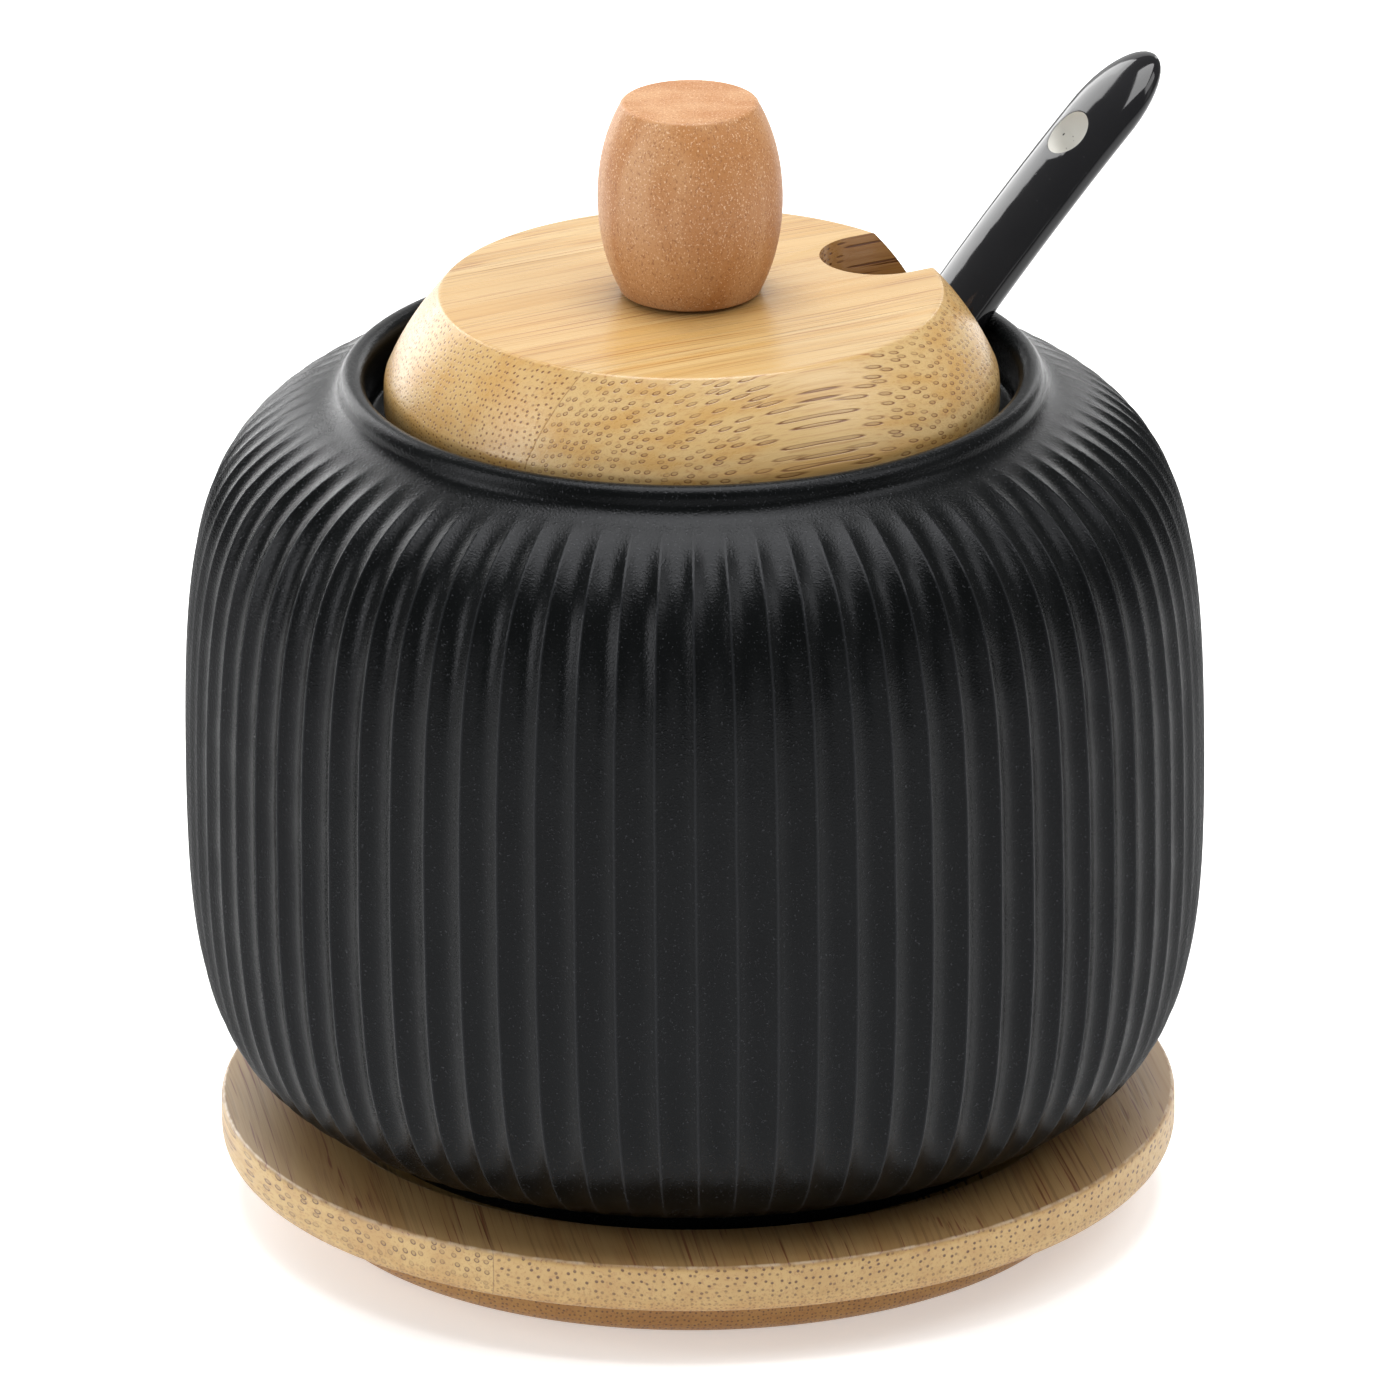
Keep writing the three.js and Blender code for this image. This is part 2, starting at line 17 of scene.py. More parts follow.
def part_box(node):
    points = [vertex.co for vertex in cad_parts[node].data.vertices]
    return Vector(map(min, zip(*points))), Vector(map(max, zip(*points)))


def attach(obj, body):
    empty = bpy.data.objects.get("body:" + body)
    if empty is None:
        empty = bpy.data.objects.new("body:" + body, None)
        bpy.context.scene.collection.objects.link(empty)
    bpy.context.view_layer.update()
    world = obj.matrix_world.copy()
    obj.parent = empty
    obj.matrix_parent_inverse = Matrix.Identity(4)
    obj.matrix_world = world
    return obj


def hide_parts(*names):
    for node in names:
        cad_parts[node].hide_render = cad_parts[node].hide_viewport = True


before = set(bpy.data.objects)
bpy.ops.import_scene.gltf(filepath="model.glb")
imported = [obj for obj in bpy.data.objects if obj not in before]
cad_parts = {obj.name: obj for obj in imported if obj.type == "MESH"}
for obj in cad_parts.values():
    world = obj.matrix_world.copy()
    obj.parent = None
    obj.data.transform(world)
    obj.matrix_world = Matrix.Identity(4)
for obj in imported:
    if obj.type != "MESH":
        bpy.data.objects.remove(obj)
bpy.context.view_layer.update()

# %% [markdown]
# ## Lengths
#
# A potter or a turner works in millimetres, and Blender here works in metres. The outlines below
# are written in millimetres over each piece's own base, and are scaled once, when they become
# vertices. The main sizes are read from the frame, so a piece can't drift from the one it replaces.

# %% Units and the places of the pieces
MM = 0.001


def in_mm(node):
    """Lowest and highest corner of a node, in millimetres."""
    low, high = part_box(node)
    return Vector(low) / MM, Vector(high) / MM


_, saucer_high = in_mm("saucer")
bowl_low, bowl_high = in_mm("bowl")
lid_low, lid_high = in_mm("lid")
knob_low, knob_high = in_mm("knob")
screw_low, screw_high = in_mm("knob_screw")
for name, low in (("bowl", bowl_low), ("lid", lid_low), ("knob", knob_low)):
    print(name, "stands at", round(low.z, 2), "mm")

# %% [markdown]
# ## Outlines
#
# Nearly every piece of this set is turned or thrown, so it is the trace of one outline round an
# axis. An outline is a list of (radius, height) points. Straight stretches need only their ends;
# a softened corner and a swelling side are short curves between two points.

# %% Curves for an outline
def sweep(start, pull_start, pull_end, end, steps):
    """A cubic curve between two points of an outline, both ends included."""
    handles = [Vector((r, z, 0)) for r, z in (start, pull_start, pull_end, end)]
    return [(p.x, p.y) for p in interpolate_bezier(*handles, steps + 1)]


def soften(start, tip, end, steps=6):
    """A rounded corner: leaves start towards the tip and arrives at end from it."""
    towards = [a + (t - a) * 2 / 3 for a, t in zip(start, tip)]
    onwards = [b + (t - b) * 2 / 3 for b, t in zip(end, tip)]
    return sweep(start, towards, onwards, end, steps)


def moved(point, by):
    return point[0] + by[0], point[1] + by[1]


def half_circle(steps, start=0.0):
    """The angles of half a turn, both ends included."""
    return [start + math.pi * k / steps for k in range(steps + 1)]


def smoothstep(value, low, high):
    share = min(1, max(0, (value - low) / (high - low)))
    return share * share * (3 - 2 * share)


# %% [markdown]
# ## Turning
#
# On a lathe the tool holds still and the work turns. `bmesh.ops.spin` does the same: it carries
# the outline once round the axis and leaves a skin of quads behind. A full turn is merged where it
# meets itself, the points on the axis are merged into one pole, and the normals are turned
# outwards.

# %% Turn an outline
MERGE_DISTANCE = 1e-6  # metres


def add_outline(bm, outline, base):
    """Puts an outline into a bmesh as a chain of edges, over the height base."""
    chain = [bm.verts.new((r * MM, 0, (base + z) * MM)) for r, z in outline]
    return chain + [bm.edges.new(pair) for pair in zip(chain, chain[1:])]


def spin_round(bm, chain, steps):
    bmesh.ops.spin(bm, geom=chain, cent=(0, 0, 0), axis=(0, 0, 1), angle=math.tau, steps=steps,
                   use_merge=True, use_duplicate=False)
    bmesh.ops.remove_doubles(bm, verts=bm.verts, dist=MERGE_DISTANCE)
    bmesh.ops.recalc_face_normals(bm, faces=bm.faces)


def new_vertices(extruded):
    return [part for part in extruded["geom"] if isinstance(part, bmesh.types.BMVert)]


def turned(outline, base, steps):
    """A bmesh of an outline turned round the set's axis."""
    bm = bmesh.new()
    spin_round(bm, add_outline(bm, outline, base), steps)
    return bm


# %% [markdown]
# ## Finishing a piece
#
# A finished piece is shaded smooth, with only its true corners left sharp. It rides on a body and
# takes the place of its plain node.

# %% Finish a piece
CORNER_ANGLE = math.radians(36)  # edges sharper than this stay crisp


def pour(bm, mesh):
    """Turns a bmesh into a mesh, smooth but for its true corners."""
    for face in bm.faces:
        face.smooth = True
    bm.to_mesh(mesh)
    bm.free()
    mesh.set_sharp_from_angle(angle=CORNER_ANGLE)


def as_object(bm, name):
    mesh = bpy.data.meshes.new(name)
    pour(bm, mesh)
    piece = bpy.data.objects.new(name, mesh)
    bpy.context.scene.collection.objects.link(piece)
    return piece


def report_piece(piece):
    size = [round(side / MM, 2) for side in piece.dimensions]
    faces = sum(len(face.vertices) - 2 for face in piece.data.polygons)
    print(f"{piece.name}: {size} mm, {faces} triangles")


def seat(piece, body, node):
    """Gives a piece its body and its node's place."""
    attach(piece, body)
    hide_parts(node)
    report_piece(piece)
    return piece


def carve(piece, tool):
    """Cuts a tool's shape out of a piece, and removes the tool."""
    cut = piece.modifiers.new("carve", "BOOLEAN")
    cut.operation = "DIFFERENCE"
    cut.solver = "EXACT"
    cut.object = tool
    graph = bpy.context.evaluated_depsgraph_get()
    carved = bpy.data.meshes.new_from_object(piece.evaluated_get(graph))
    piece.modifiers.clear()
    piece.data = carved
    carved.name = piece.name
    bpy.data.objects.remove(tool)


# %% [markdown]
# ## The bowl's outline
#
# The bowl is cast in a mould: a narrow foot, a full belly, a shoulder that turns in to a plain
# collar, and a rounded lip. Inside the mouth a ledge carries the lid. The outside is drawn from
# the foot to the lip and the inside back down to the middle of the floor, so that the shell is
# closed all round.

# %% Draw the bowl's outline
FOOT_RADIUS = 34.5
FOOT_WIDTH = 4.5
FOOT_HEIGHT = 1.7
FOOT_RECESS = 1.2
FOOT_EDGE = 0.5
HEEL_PULL = (10.2, 3.7)  # how the curve leaves the foot, outwards and up
BELLY_HEIGHT = 33.9
BELLY_PULLS = (0.776, 0.71)  # how far the belly stays upright, below and above its widest point
COLLAR_PULL = (13.5, -4.8)  # how the shoulder arrives at the collar, from outside and below
COLLAR_HEIGHT = 2.4
COLLAR_FLARE = 0.2
COVE_START = 0.95  # share of the shoulder's curve at which the hollow under the lip begins
BELLY_STEPS = 26
SHOULDER_STEPS = 40
MOUTH_RADIUS = 31.8
LIP_WIDTH = 2.6
LIP_ROUND = 1.5
LEDGE_DEPTH = 5.6
LEDGE_WIDTH = 3.6
LEDGE_THICKNESS = 3.2
LEDGE_CORNER = 0.8
THROAT_CORNER = 0.6
WALL = 4.0
FLOOR_HEIGHT = 5.3
FLOOR_RADIUS = 29.0

belly_radius = bowl_high.x
bowl_height = bowl_high.z - bowl_low.z
shoulder_height = bowl_height - COLLAR_HEIGHT
collar_radius = MOUTH_RADIUS + LIP_WIDTH + COLLAR_FLARE
ledge_height = bowl_height - LEDGE_DEPTH
throat_radius = MOUTH_RADIUS - LEDGE_WIDTH


def foot_outline():
    inner = FOOT_RADIUS - FOOT_WIDTH
    return [
        (0, FOOT_RECESS),
        *soften((inner - 1.5, FOOT_RECESS), (inner - 0.3, FOOT_RECESS), (inner, FOOT_EDGE), 4),
        *soften((inner, FOOT_EDGE), (inner, 0), (inner + FOOT_EDGE, 0), 3)[1:],
        *soften((FOOT_RADIUS - FOOT_EDGE, 0), (FOOT_RADIUS, 0), (FOOT_RADIUS, FOOT_EDGE), 3),
    ]


def outside_outline():
    heel = (FOOT_RADIUS + FOOT_EDGE, FOOT_HEIGHT)
    belly = (belly_radius, BELLY_HEIGHT)
    collar = (collar_radius, shoulder_height)
    below, above = BELLY_PULLS
    lower_pull = BELLY_HEIGHT - below * (BELLY_HEIGHT - FOOT_HEIGHT)
    upper_pull = BELLY_HEIGHT + above * (shoulder_height - BELLY_HEIGHT)
    lower = sweep(heel, moved(heel, HEEL_PULL), (belly_radius, lower_pull), belly, BELLY_STEPS)
    upper = sweep(belly, (belly_radius, upper_pull), moved(collar, COLLAR_PULL), collar,
                  SHOULDER_STEPS)
    kept = upper[:round(SHOULDER_STEPS * COVE_START) + 1]
    lip_base = (MOUTH_RADIUS + LIP_WIDTH, bowl_height - LIP_ROUND)
    return lower + kept[1:] + soften(kept[-1], collar, lip_base, 6)[1:-1]


def lip_outline():
    middle = MOUTH_RADIUS + LIP_WIDTH / 2
    base = bowl_height - LIP_ROUND
    return [(middle + LIP_WIDTH / 2 * math.cos(a), base + LIP_ROUND * math.sin(a))
            for a in half_circle(12)]


def inside_outline():
    inner = belly_radius - WALL
    under = ledge_height - LEDGE_THICKNESS
    mouth, throat = MOUTH_RADIUS, throat_radius
    side_pull = BELLY_HEIGHT + 0.66 * (under - BELLY_HEIGHT)
    return [
        *soften((mouth, ledge_height + LEDGE_CORNER), (mouth, ledge_height),
                (mouth - LEDGE_CORNER, ledge_height), 4),
        *soften((throat + THROAT_CORNER, ledge_height), (throat, ledge_height),
                (throat, ledge_height - THROAT_CORNER), 4),
        *soften((throat, under + 1), (throat, under), (throat + 1.5, under), 4),
        *sweep((throat + 1.5, under), (inner - 6, under - 0.5), (inner, side_pull),
               (inner, BELLY_HEIGHT), 10)[1:],
        *sweep((inner, BELLY_HEIGHT), (inner, FLOOR_HEIGHT + 5.7),
               (FLOOR_RADIUS + 11, FLOOR_HEIGHT + 1.2), (FLOOR_RADIUS, FLOOR_HEIGHT), 12)[1:],
        (0, FLOOR_HEIGHT),
    ]


plain_foot = foot_outline()
fluted_side = outside_outline()
smooth_inside = lip_outline() + inside_outline()
print("bowl outline:", len(plain_foot) + len(fluted_side) + len(smooth_inside), "points")

# %% [markdown]
# ## The flutes
#
# Eighty hollows run up the bowl, each a shallow scoop, and the ridges between them are narrow and
# softened by the glaze. They fade out above the foot and on the shoulder. A texture could fake
# them, but the ridges show at the bowl's edge and catch a line of light each, so they are real
# here: every point of the turned outside is pressed in by the depth of the hollow at its angle.
# Each outline point carries how strongly the flutes show there, and the spin hands this on. The
# glaze runs off the ridges, so they are marked too, for the finish to show it thin there.

# %% Press the flutes
FLUTES = 80
FLUTE_DEPTH = 0.7
STEPS_PER_FLUTE = 8
RIDGE_ROUND = 0.03  # how far the glaze softens a ridge, as a share of the pitch
FADE_FOOT = (FOOT_HEIGHT, FOOT_HEIGHT + 4.8)
FADE_SHOULDER = (collar_radius + 1.0, collar_radius + 7.6)
RIDGE_WIDTH = 0.045  # of the thin glaze on a ridge, as a share of the pitch
CROWDING = 0.66  # draws the steps of a flute towards its ridges
WANDER = 0.0012  # how far a flute strays sideways, in radians
UNEVENNESS = 0.16  # how much its depth varies
WANDER_HEIGHT = 30  # over which a flute strays once, in millimetres


def flute_strength(radius, height):
    if height > BELLY_HEIGHT:
        return smoothstep(radius, *FADE_SHOULDER)
    return smoothstep(height, *FADE_FOOT)


def hollow_depth(share):
    """Depth across one flute, a round hollow, from 0 on the ridge to 1 in the middle."""
    off_ridge = math.hypot(min(share, 1 - share), RIDGE_ROUND) - RIDGE_ROUND
    deepest = math.hypot(0.5, RIDGE_ROUND) - RIDGE_ROUND
    return off_ridge * (1 - off_ridge) / (deepest * (1 - deepest))


def press_flutes(bm, strength_layer, ridge_layer):
    pitch = math.tau / FLUTES
    for v in bm.verts:
        radius = math.hypot(v.co.x, v.co.y)
        if radius < MERGE_DISTANCE:
            continue
        turns = math.atan2(v.co.y, v.co.x) / pitch
        share = turns - math.floor(turns)
        share -= CROWDING / math.tau * math.sin(math.tau * share)
        angle = (math.floor(turns) + share) * pitch
        strength = v[strength_layer]
        height = v.co.z / MM
        if strength > 0:
            spot = Vector((math.cos(angle), math.sin(angle), height / WANDER_HEIGHT)) * 5
            wander = noise.noise(spot) * WANDER
            uneven = 1 + UNEVENNESS * noise.noise(spot * 1.7 + Vector((7, 3, 1)))
            radius -= FLUTE_DEPTH * MM * strength * uneven * hollow_depth(share)
            angle += wander * strength
            v[ridge_layer] = strength * (1 - smoothstep(min(share, 1 - share), 0, RIDGE_WIDTH))
        v.co.x = radius * math.cos(angle)
        v.co.y = radius * math.sin(angle)


def build_bowl():
    bm = bmesh.new()
    strength_layer = bm.verts.layers.float.new("flute")
    ridge_layer = bm.verts.layers.float.new("ridge")
    chain = add_outline(bm, plain_foot + fluted_side + smooth_inside, bowl_low.z)
    for index, (radius, height) in enumerate(fluted_side, len(plain_foot)):
        chain[index][strength_layer] = flute_strength(radius, height)
    spin_round(bm, chain, FLUTES * STEPS_PER_FLUTE)
    press_flutes(bm, strength_layer, ridge_layer)
    return as_object(bm, "fluted_bowl")


bowl = seat(build_bowl(), "bowl", "bowl")

# %% [markdown]
# ## The saucer
#
# The saucer is a bamboo board turned on a lathe: a foot, a hollow corner, an overhanging rim with
# a fuller lower edge, and a shallow round seat for the bowl.

# %% Turn the saucer
SAUCER_FOOT_RADIUS = 39.8
SAUCER_FOOT_ROUND = 3.2
RIM_THICKNESS = 5.2
RIM_ROUND = 2.3
RIM_EDGE = 0.8
COVE = 1.4
RECESS_DEPTH = 1.8
RECESS_RADIUS = 37.4
ARRIS = 0.25  # a sanded corner

saucer_radius = saucer_high.x
saucer_height = saucer_high.z


def saucer_outline():
    rim_under = saucer_height - RIM_THICKNESS
    foot = SAUCER_FOOT_RADIUS
    top = saucer_height
    floor = top - RECESS_DEPTH
    seat_edge = RECESS_RADIUS
    return [
        (0, 0),
        *soften((foot - SAUCER_FOOT_ROUND, 0), (foot, 0), (foot, SAUCER_FOOT_ROUND), 10),
        *soften((foot, rim_under - COVE / 2), (foot, rim_under), (foot + COVE, rim_under), 6),
        *soften((saucer_radius - RIM_ROUND, rim_under), (saucer_radius, rim_under),
                (saucer_radius, rim_under + RIM_ROUND), 10),
        *soften((saucer_radius, top - RIM_EDGE), (saucer_radius - 0.05, top - 0.1),
                (saucer_radius - RIM_EDGE / 2, top), 6),
        *soften((seat_edge + ARRIS, top), (seat_edge, top), (seat_edge, top - ARRIS), 4),
        *soften((seat_edge, floor + ARRIS), (seat_edge, floor), (seat_edge - ARRIS, floor), 3),
        (0, floor),
    ]


saucer = as_object(turned(saucer_outline(), base=0, steps=256), "bamboo_saucer")
seat(saucer, "saucer", "saucer")

# %% [markdown]
# ## The lid
#
# The lid is a thick bamboo disc with a sloping side that swells a little. Its underside is
# countersunk in the middle for the screw of the knob.

# %% Turn the lid
LID_EDGE_HEIGHT = 4.6
LID_TOP_RADIUS = 24.5
LID_EDGE_ROUND = 1.1
LID_SHOULDER_ROUND = 1.3
LID_TOP_ROUND = 0.5
BEVEL_BULGE = 0.4
SCREW_HEAD_RADIUS = 4.2
SCREW_HEAD_HEIGHT = 2.3
SCREW_RADIUS = 1.9
COUNTERSINK_PLAY = 0.6
SHANK_HOLE_RADIUS = 2.2
MOUTH_PLAY = 1.8  # between the lid's edge and the mouth

lid_radius = MOUTH_RADIUS - MOUTH_PLAY
lid_height = lid_high.z - lid_low.z


def lid_outline():
    edge = Vector((lid_radius, LID_EDGE_HEIGHT))
    top = Vector((LID_TOP_RADIUS, lid_height))
    slope = top - edge
    outward = Vector((slope.y, -slope.x)).normalized()
    crown = edge + slope / 2 + outward * BEVEL_BULGE
    start = edge.lerp(crown, LID_SHOULDER_ROUND / slope.length)
    end = top.lerp(crown, LID_TOP_ROUND / slope.length)
    return [
        (SHANK_HOLE_RADIUS, SCREW_HEAD_HEIGHT),
        (SCREW_HEAD_RADIUS + COUNTERSINK_PLAY, 0),
        *soften((lid_radius - LID_EDGE_ROUND, 0), (lid_radius, 0),
                (lid_radius, 2 * LID_EDGE_ROUND), 6),
        *soften((lid_radius, LID_EDGE_HEIGHT - LID_SHOULDER_ROUND), edge, start, 6),
        *soften(start, crown + (crown - (start + end) / 2), end, 8)[1:-1],
        *soften(end, top, (LID_TOP_RADIUS - LID_TOP_ROUND, lid_height), 4),
        (SHANK_HOLE_RADIUS, lid_height),
        (SHANK_HOLE_RADIUS, SCREW_HEAD_HEIGHT),
    ]


lid = as_object(turned(lid_outline(), lid_low.z, steps=192), "notched_lid")
report_piece(lid)

# %% [markdown]
# ## The notch for the spoon
#
# A saw and a rasp would open this notch from the lid's edge: a slot with a round inner end. The
# tool for it is a flat outline, extruded through the board and turned to where the spoon leans.
# Its cut edges are then beveled, as sandpaper would do, which also rounds the two corners of the
# notch's mouth. The wall of the notch is marked as bare, because the lacquer doesn't cover it.

# %% Cut the notch and round its edges
SPOON_AZIMUTH = math.radians(29)
HANDLE_HALF_WIDTH = 4.8
NOTCH_PLAY = 1.05
NOTCH_REACH = 15.2
SANDED_EDGE = 0.45
STRAY_EDGE = 0.12  # cut edges shorter than this are merged before the bevel
OVERCUT = 3.0
ON_WALL = 0.02  # points nearer than this to a cut wall belong to it

notch_half_width = HANDLE_HALF_WIDTH + NOTCH_PLAY
notch_centre = NOTCH_REACH + notch_half_width


def notch_tool():
    """The notch as a solid that runs past the board."""
    bm = bmesh.new()
    outer = lid_radius + OVERCUT
    round_end = [(notch_centre + notch_half_width * math.cos(a), notch_half_width * math.sin(a))
                 for a in half_circle(24, math.pi / 2)]
    corners = [(outer, notch_half_width), *round_end, (outer, -notch_half_width)]
    outline = [bm.verts.new((x * MM, y * MM, (lid_low.z - OVERCUT) * MM)) for x, y in corners]
    grown = bmesh.ops.extrude_face_region(bm, geom=[bm.faces.new(outline)])
    lift = (0, 0, (lid_height + 2 * OVERCUT) * MM)
    bmesh.ops.translate(bm, vec=lift, verts=new_vertices(grown))
    bmesh.ops.recalc_face_normals(bm, faces=bm.faces)
    turn = Matrix.Rotation(SPOON_AZIMUTH, 3, "Z")
    bmesh.ops.rotate(bm, verts=bm.verts, cent=(0, 0, 0), matrix=turn)
    return as_object(bm, "notch_tool")


def notch_distance(place):
    """How far a place is outside the wall of the notch, seen from above, in millimetres."""
    along = Matrix.Rotation(-SPOON_AZIMUTH, 3, "Z") @ Vector(place) / MM
    past = min(0, along.x - notch_centre)
    return math.hypot(past, along.y) - notch_half_width


def wall_faces(bm, distance):
    """The upright faces on a cut wall; distance says how far a place is from it."""
    on_wall = {v: abs(distance(v.co)) < ON_WALL for v in bm.verts}
    return {f for f in bm.faces if all(on_wall[v] for v in f.verts) and abs(f.normal.z) < 0.5}


def rim_edges(bm, distance):
    walls = wall_faces(bm, distance)
    return [e for e in bm.edges
            if len(e.link_faces) == 2 and len(walls.intersection(e.link_faces)) == 1]


def round_rim(piece, distance, offset):
    """Rounds the edges where a cut wall meets the piece, and marks the wall as bare."""
    bm = bmesh.new()
    bm.from_mesh(piece.data)
    rim_points = list({v for e in rim_edges(bm, distance) for v in e.verts})
    bmesh.ops.remove_doubles(bm, verts=rim_points, dist=STRAY_EDGE * MM)
    rim = rim_edges(bm, distance)
    bmesh.ops.bevel(bm, geom=rim, offset=offset * MM, offset_type="OFFSET", segments=3, profile=0.5,
                    affect="EDGES", material=-1, clamp_overlap=True)
    print(f"{piece.name}: {len(rim)} rim edges rounded")
    bare = bm.loops.layers.float.new("bare")
    for face in wall_faces(bm, distance):
        for corner in face.loops:
            corner[bare] = 1.0
    pour(bm, piece.data)


carve(lid, notch_tool())
round_rim(lid, notch_distance, SANDED_EDGE)
seat(lid, "lid", "lid")

# %% [markdown]
# ## The knob
#
# The knob is a little barrel, turned from a finer and pinker wood than bamboo. Its ends are flat
# with softened corners. A blind hole from below takes the screw.

# %% Turn the knob
KNOB_RADIUS = 9.0
KNOB_BASE_RADIUS = 7.0
KNOB_TOP_RADIUS = 6.8
KNOB_EDGE = 0.5
SCREW_BITE = 9.5

knob_height = knob_high.z - knob_low.z


def knob_outline():
    base, top = KNOB_BASE_RADIUS, KNOB_TOP_RADIUS
    swell = 4 / 3  # a cubic curve reaches three quarters of its pull
    lower_pull = (base + swell * (KNOB_RADIUS - base), knob_height * 0.3)
    upper_pull = (top + swell * (KNOB_RADIUS - top), knob_height * 0.7)
    barrel = sweep((base, KNOB_EDGE), lower_pull, upper_pull, (top, knob_height - KNOB_EDGE), 28)
    return [
        (0, SCREW_BITE + 1),
        (SHANK_HOLE_RADIUS, SCREW_BITE + 1),
        (SHANK_HOLE_RADIUS, 0),
        *soften((base - KNOB_EDGE, 0), (base - 0.1, 0), barrel[0], 4)[:-1],
        *barrel,
        *soften(barrel[-1], (top - 0.1, knob_height), (top - KNOB_EDGE - 0.3, knob_height), 5)[1:],
        (0, knob_height),
    ]


knob = as_object(turned(knob_outline(), knob_low.z, steps=128), "turned_knob")
seat(knob, "lid", "knob")

# %% [markdown]
# ## The screw that holds the knob
#
# A countersunk screw comes up through the lid. Its head, with a cross recess, is seen only when the
# lid is lifted and turned over. The shank is turned, its thread is a small wedge spun round it
# while it climbs, and the recess is cut by two crossed bars.

# %% Make the screw
CROSS_WIDTH = 0.9
CROSS_LENGTH = 4.2
CROSS_DEPTH = 1.2
SCREW_POINT = 2.5
THREAD_PITCH = 1.1
THREAD_RISE = 0.28
THREAD_FOOT = 0.7
THREAD_STEPS = 24  # for each turn

screw_length = screw_high.z - screw_low.z


def screw_outline():
    core = SCREW_RADIUS - THREAD_RISE
    return [
        (0, 0),
        (SCREW_HEAD_RADIUS - 0.15, 0),
        (SCREW_HEAD_RADIUS, 0.12),
        (core, SCREW_HEAD_HEIGHT),
        (core, screw_length - SCREW_POINT),
        (0, screw_length),
    ]


def add_thread(bm):
    """A wedge that climbs round the shank, closed at both ends."""
    core = SCREW_RADIUS - THREAD_RISE
    turns = (screw_length - SCREW_POINT - SCREW_HEAD_HEIGHT) / THREAD_PITCH - 1
    foot = screw_low.z + SCREW_HEAD_HEIGHT + 0.5
    wedge = [(core - 0.1, foot), (SCREW_RADIUS, foot + THREAD_FOOT / 2),
             (core - 0.1, foot + THREAD_FOOT)]
    start = bm.faces.new([bm.verts.new((r * MM, 0, z * MM)) for r, z in wedge])
    steps = round(turns * THREAD_STEPS)
    rise = Vector((0, 0, THREAD_PITCH * turns * MM / steps))
    bmesh.ops.spin(bm, geom=[start, *start.edges, *start.verts], cent=(0, 0, 0), axis=(0, 0, 1),
                   dvec=rise, angle=math.tau * turns, steps=steps, use_merge=False,
                   use_duplicate=False)


def cross_bar(length, width):
    bm = bmesh.new()
    bmesh.ops.create_cube(bm, size=MM)
    bmesh.ops.scale(bm, vec=(length, width, 2 * CROSS_DEPTH), verts=bm.verts)
    bmesh.ops.translate(bm, vec=(0, 0, screw_low.z * MM), verts=bm.verts)
    return as_object(bm, "cross_bar")


def build_screw():
    screw = as_object(turned(screw_outline(), screw_low.z, steps=48), "countersunk_screw")
    carve(screw, cross_bar(CROSS_LENGTH, CROSS_WIDTH))
    carve(screw, cross_bar(CROSS_WIDTH, CROSS_LENGTH))
    bm = bmesh.new()
    bm.from_mesh(screw.data)
    add_thread(bm)
    bmesh.ops.recalc_face_normals(bm, faces=bm.faces)
    bm.to_mesh(screw.data)
    bm.free()
    screw.data.set_sharp_from_angle(angle=CORNER_ANGLE)
    return screw


screw = seat(build_screw(), "lid", "knob_screw")

# %% [markdown]
# ## The spoon's shape
#
# The spoon is one piece of glazed ceramic: an oval scoop, a thin neck, and a handle that widens
# towards a rounded end. It could be a subdivided cage, but its widths and thicknesses are known
# along its length, so it is grown as a ring that is extruded from station to station and fitted to
# the section there. It is modelled lying along X, with the scoop's tip at the origin.

# %% The spoon's widths and heights along its length
SPOON_LENGTH = 127.0
SCOOP_LENGTH = 38.0
SCOOP_HALF_WIDTH = 12.0
SCOOP_DEPTH = 7.6
SCOOP_WALL = 2.2
SCOOP_LIP = 1.1  # how much narrower the scoop is above than below
SCOOP_RIM = 0.5
SCOOP_BEND = 7.0
NECK_HALF_WIDTH = 3.5
NECK_HALF_THICKNESS = 2.6
HANDLE_HALF_THICKNESS = 2.1
HANDLE_END_LENGTH = 8.0
HANDLE_DROOP = 3.6
DROOP_START = 80.0


def blend(low, high, share):
    return low + (high - low) * share


def scoop_share(u, inset):
    """Share of the scoop's full width at a distance u from its tip."""
    middle = SCOOP_LENGTH / 2
    return math.sqrt(max(0, 1 - ((u - middle) / (middle - inset)) ** 2))


def handle_end(u):
    past = max(0, u - (SPOON_LENGTH - HANDLE_END_LENGTH)) / HANDLE_END_LENGTH
    return math.sqrt(max(0, 1 - past * past))


def half_width(u):
    grown = smoothstep(u, SCOOP_LENGTH, SPOON_LENGTH - 2 * HANDLE_END_LENGTH)
    stem = blend(NECK_HALF_WIDTH, HANDLE_HALF_WIDTH, grown) * handle_end(u)
    scoop = SCOOP_HALF_WIDTH * scoop_share(u, 0)
    return scoop if u < SCOOP_LENGTH / 2 else math.hypot(scoop, stem)


def stem_half_thickness(u):
    along = smoothstep(u, SCOOP_LENGTH, SPOON_LENGTH)
    return blend(NECK_HALF_THICKNESS, HANDLE_HALF_THICKNESS, along) * handle_end(u)


def under_depth(u):
    stem = stem_half_thickness(u) * smoothstep(u, 0, SCOOP_LENGTH)
    return math.hypot(SCOOP_DEPTH * scoop_share(u, 0), stem)


def upper_height(u):
    stem = stem_half_thickness(u) * smoothstep(u, SCOOP_LENGTH * 0.8, SCOOP_LENGTH * 1.25)
    hollow = SCOOP_DEPTH - SCOOP_WALL + SCOOP_RIM
    return stem + SCOOP_RIM * scoop_share(u, 0) - hollow * scoop_share(u, 2)


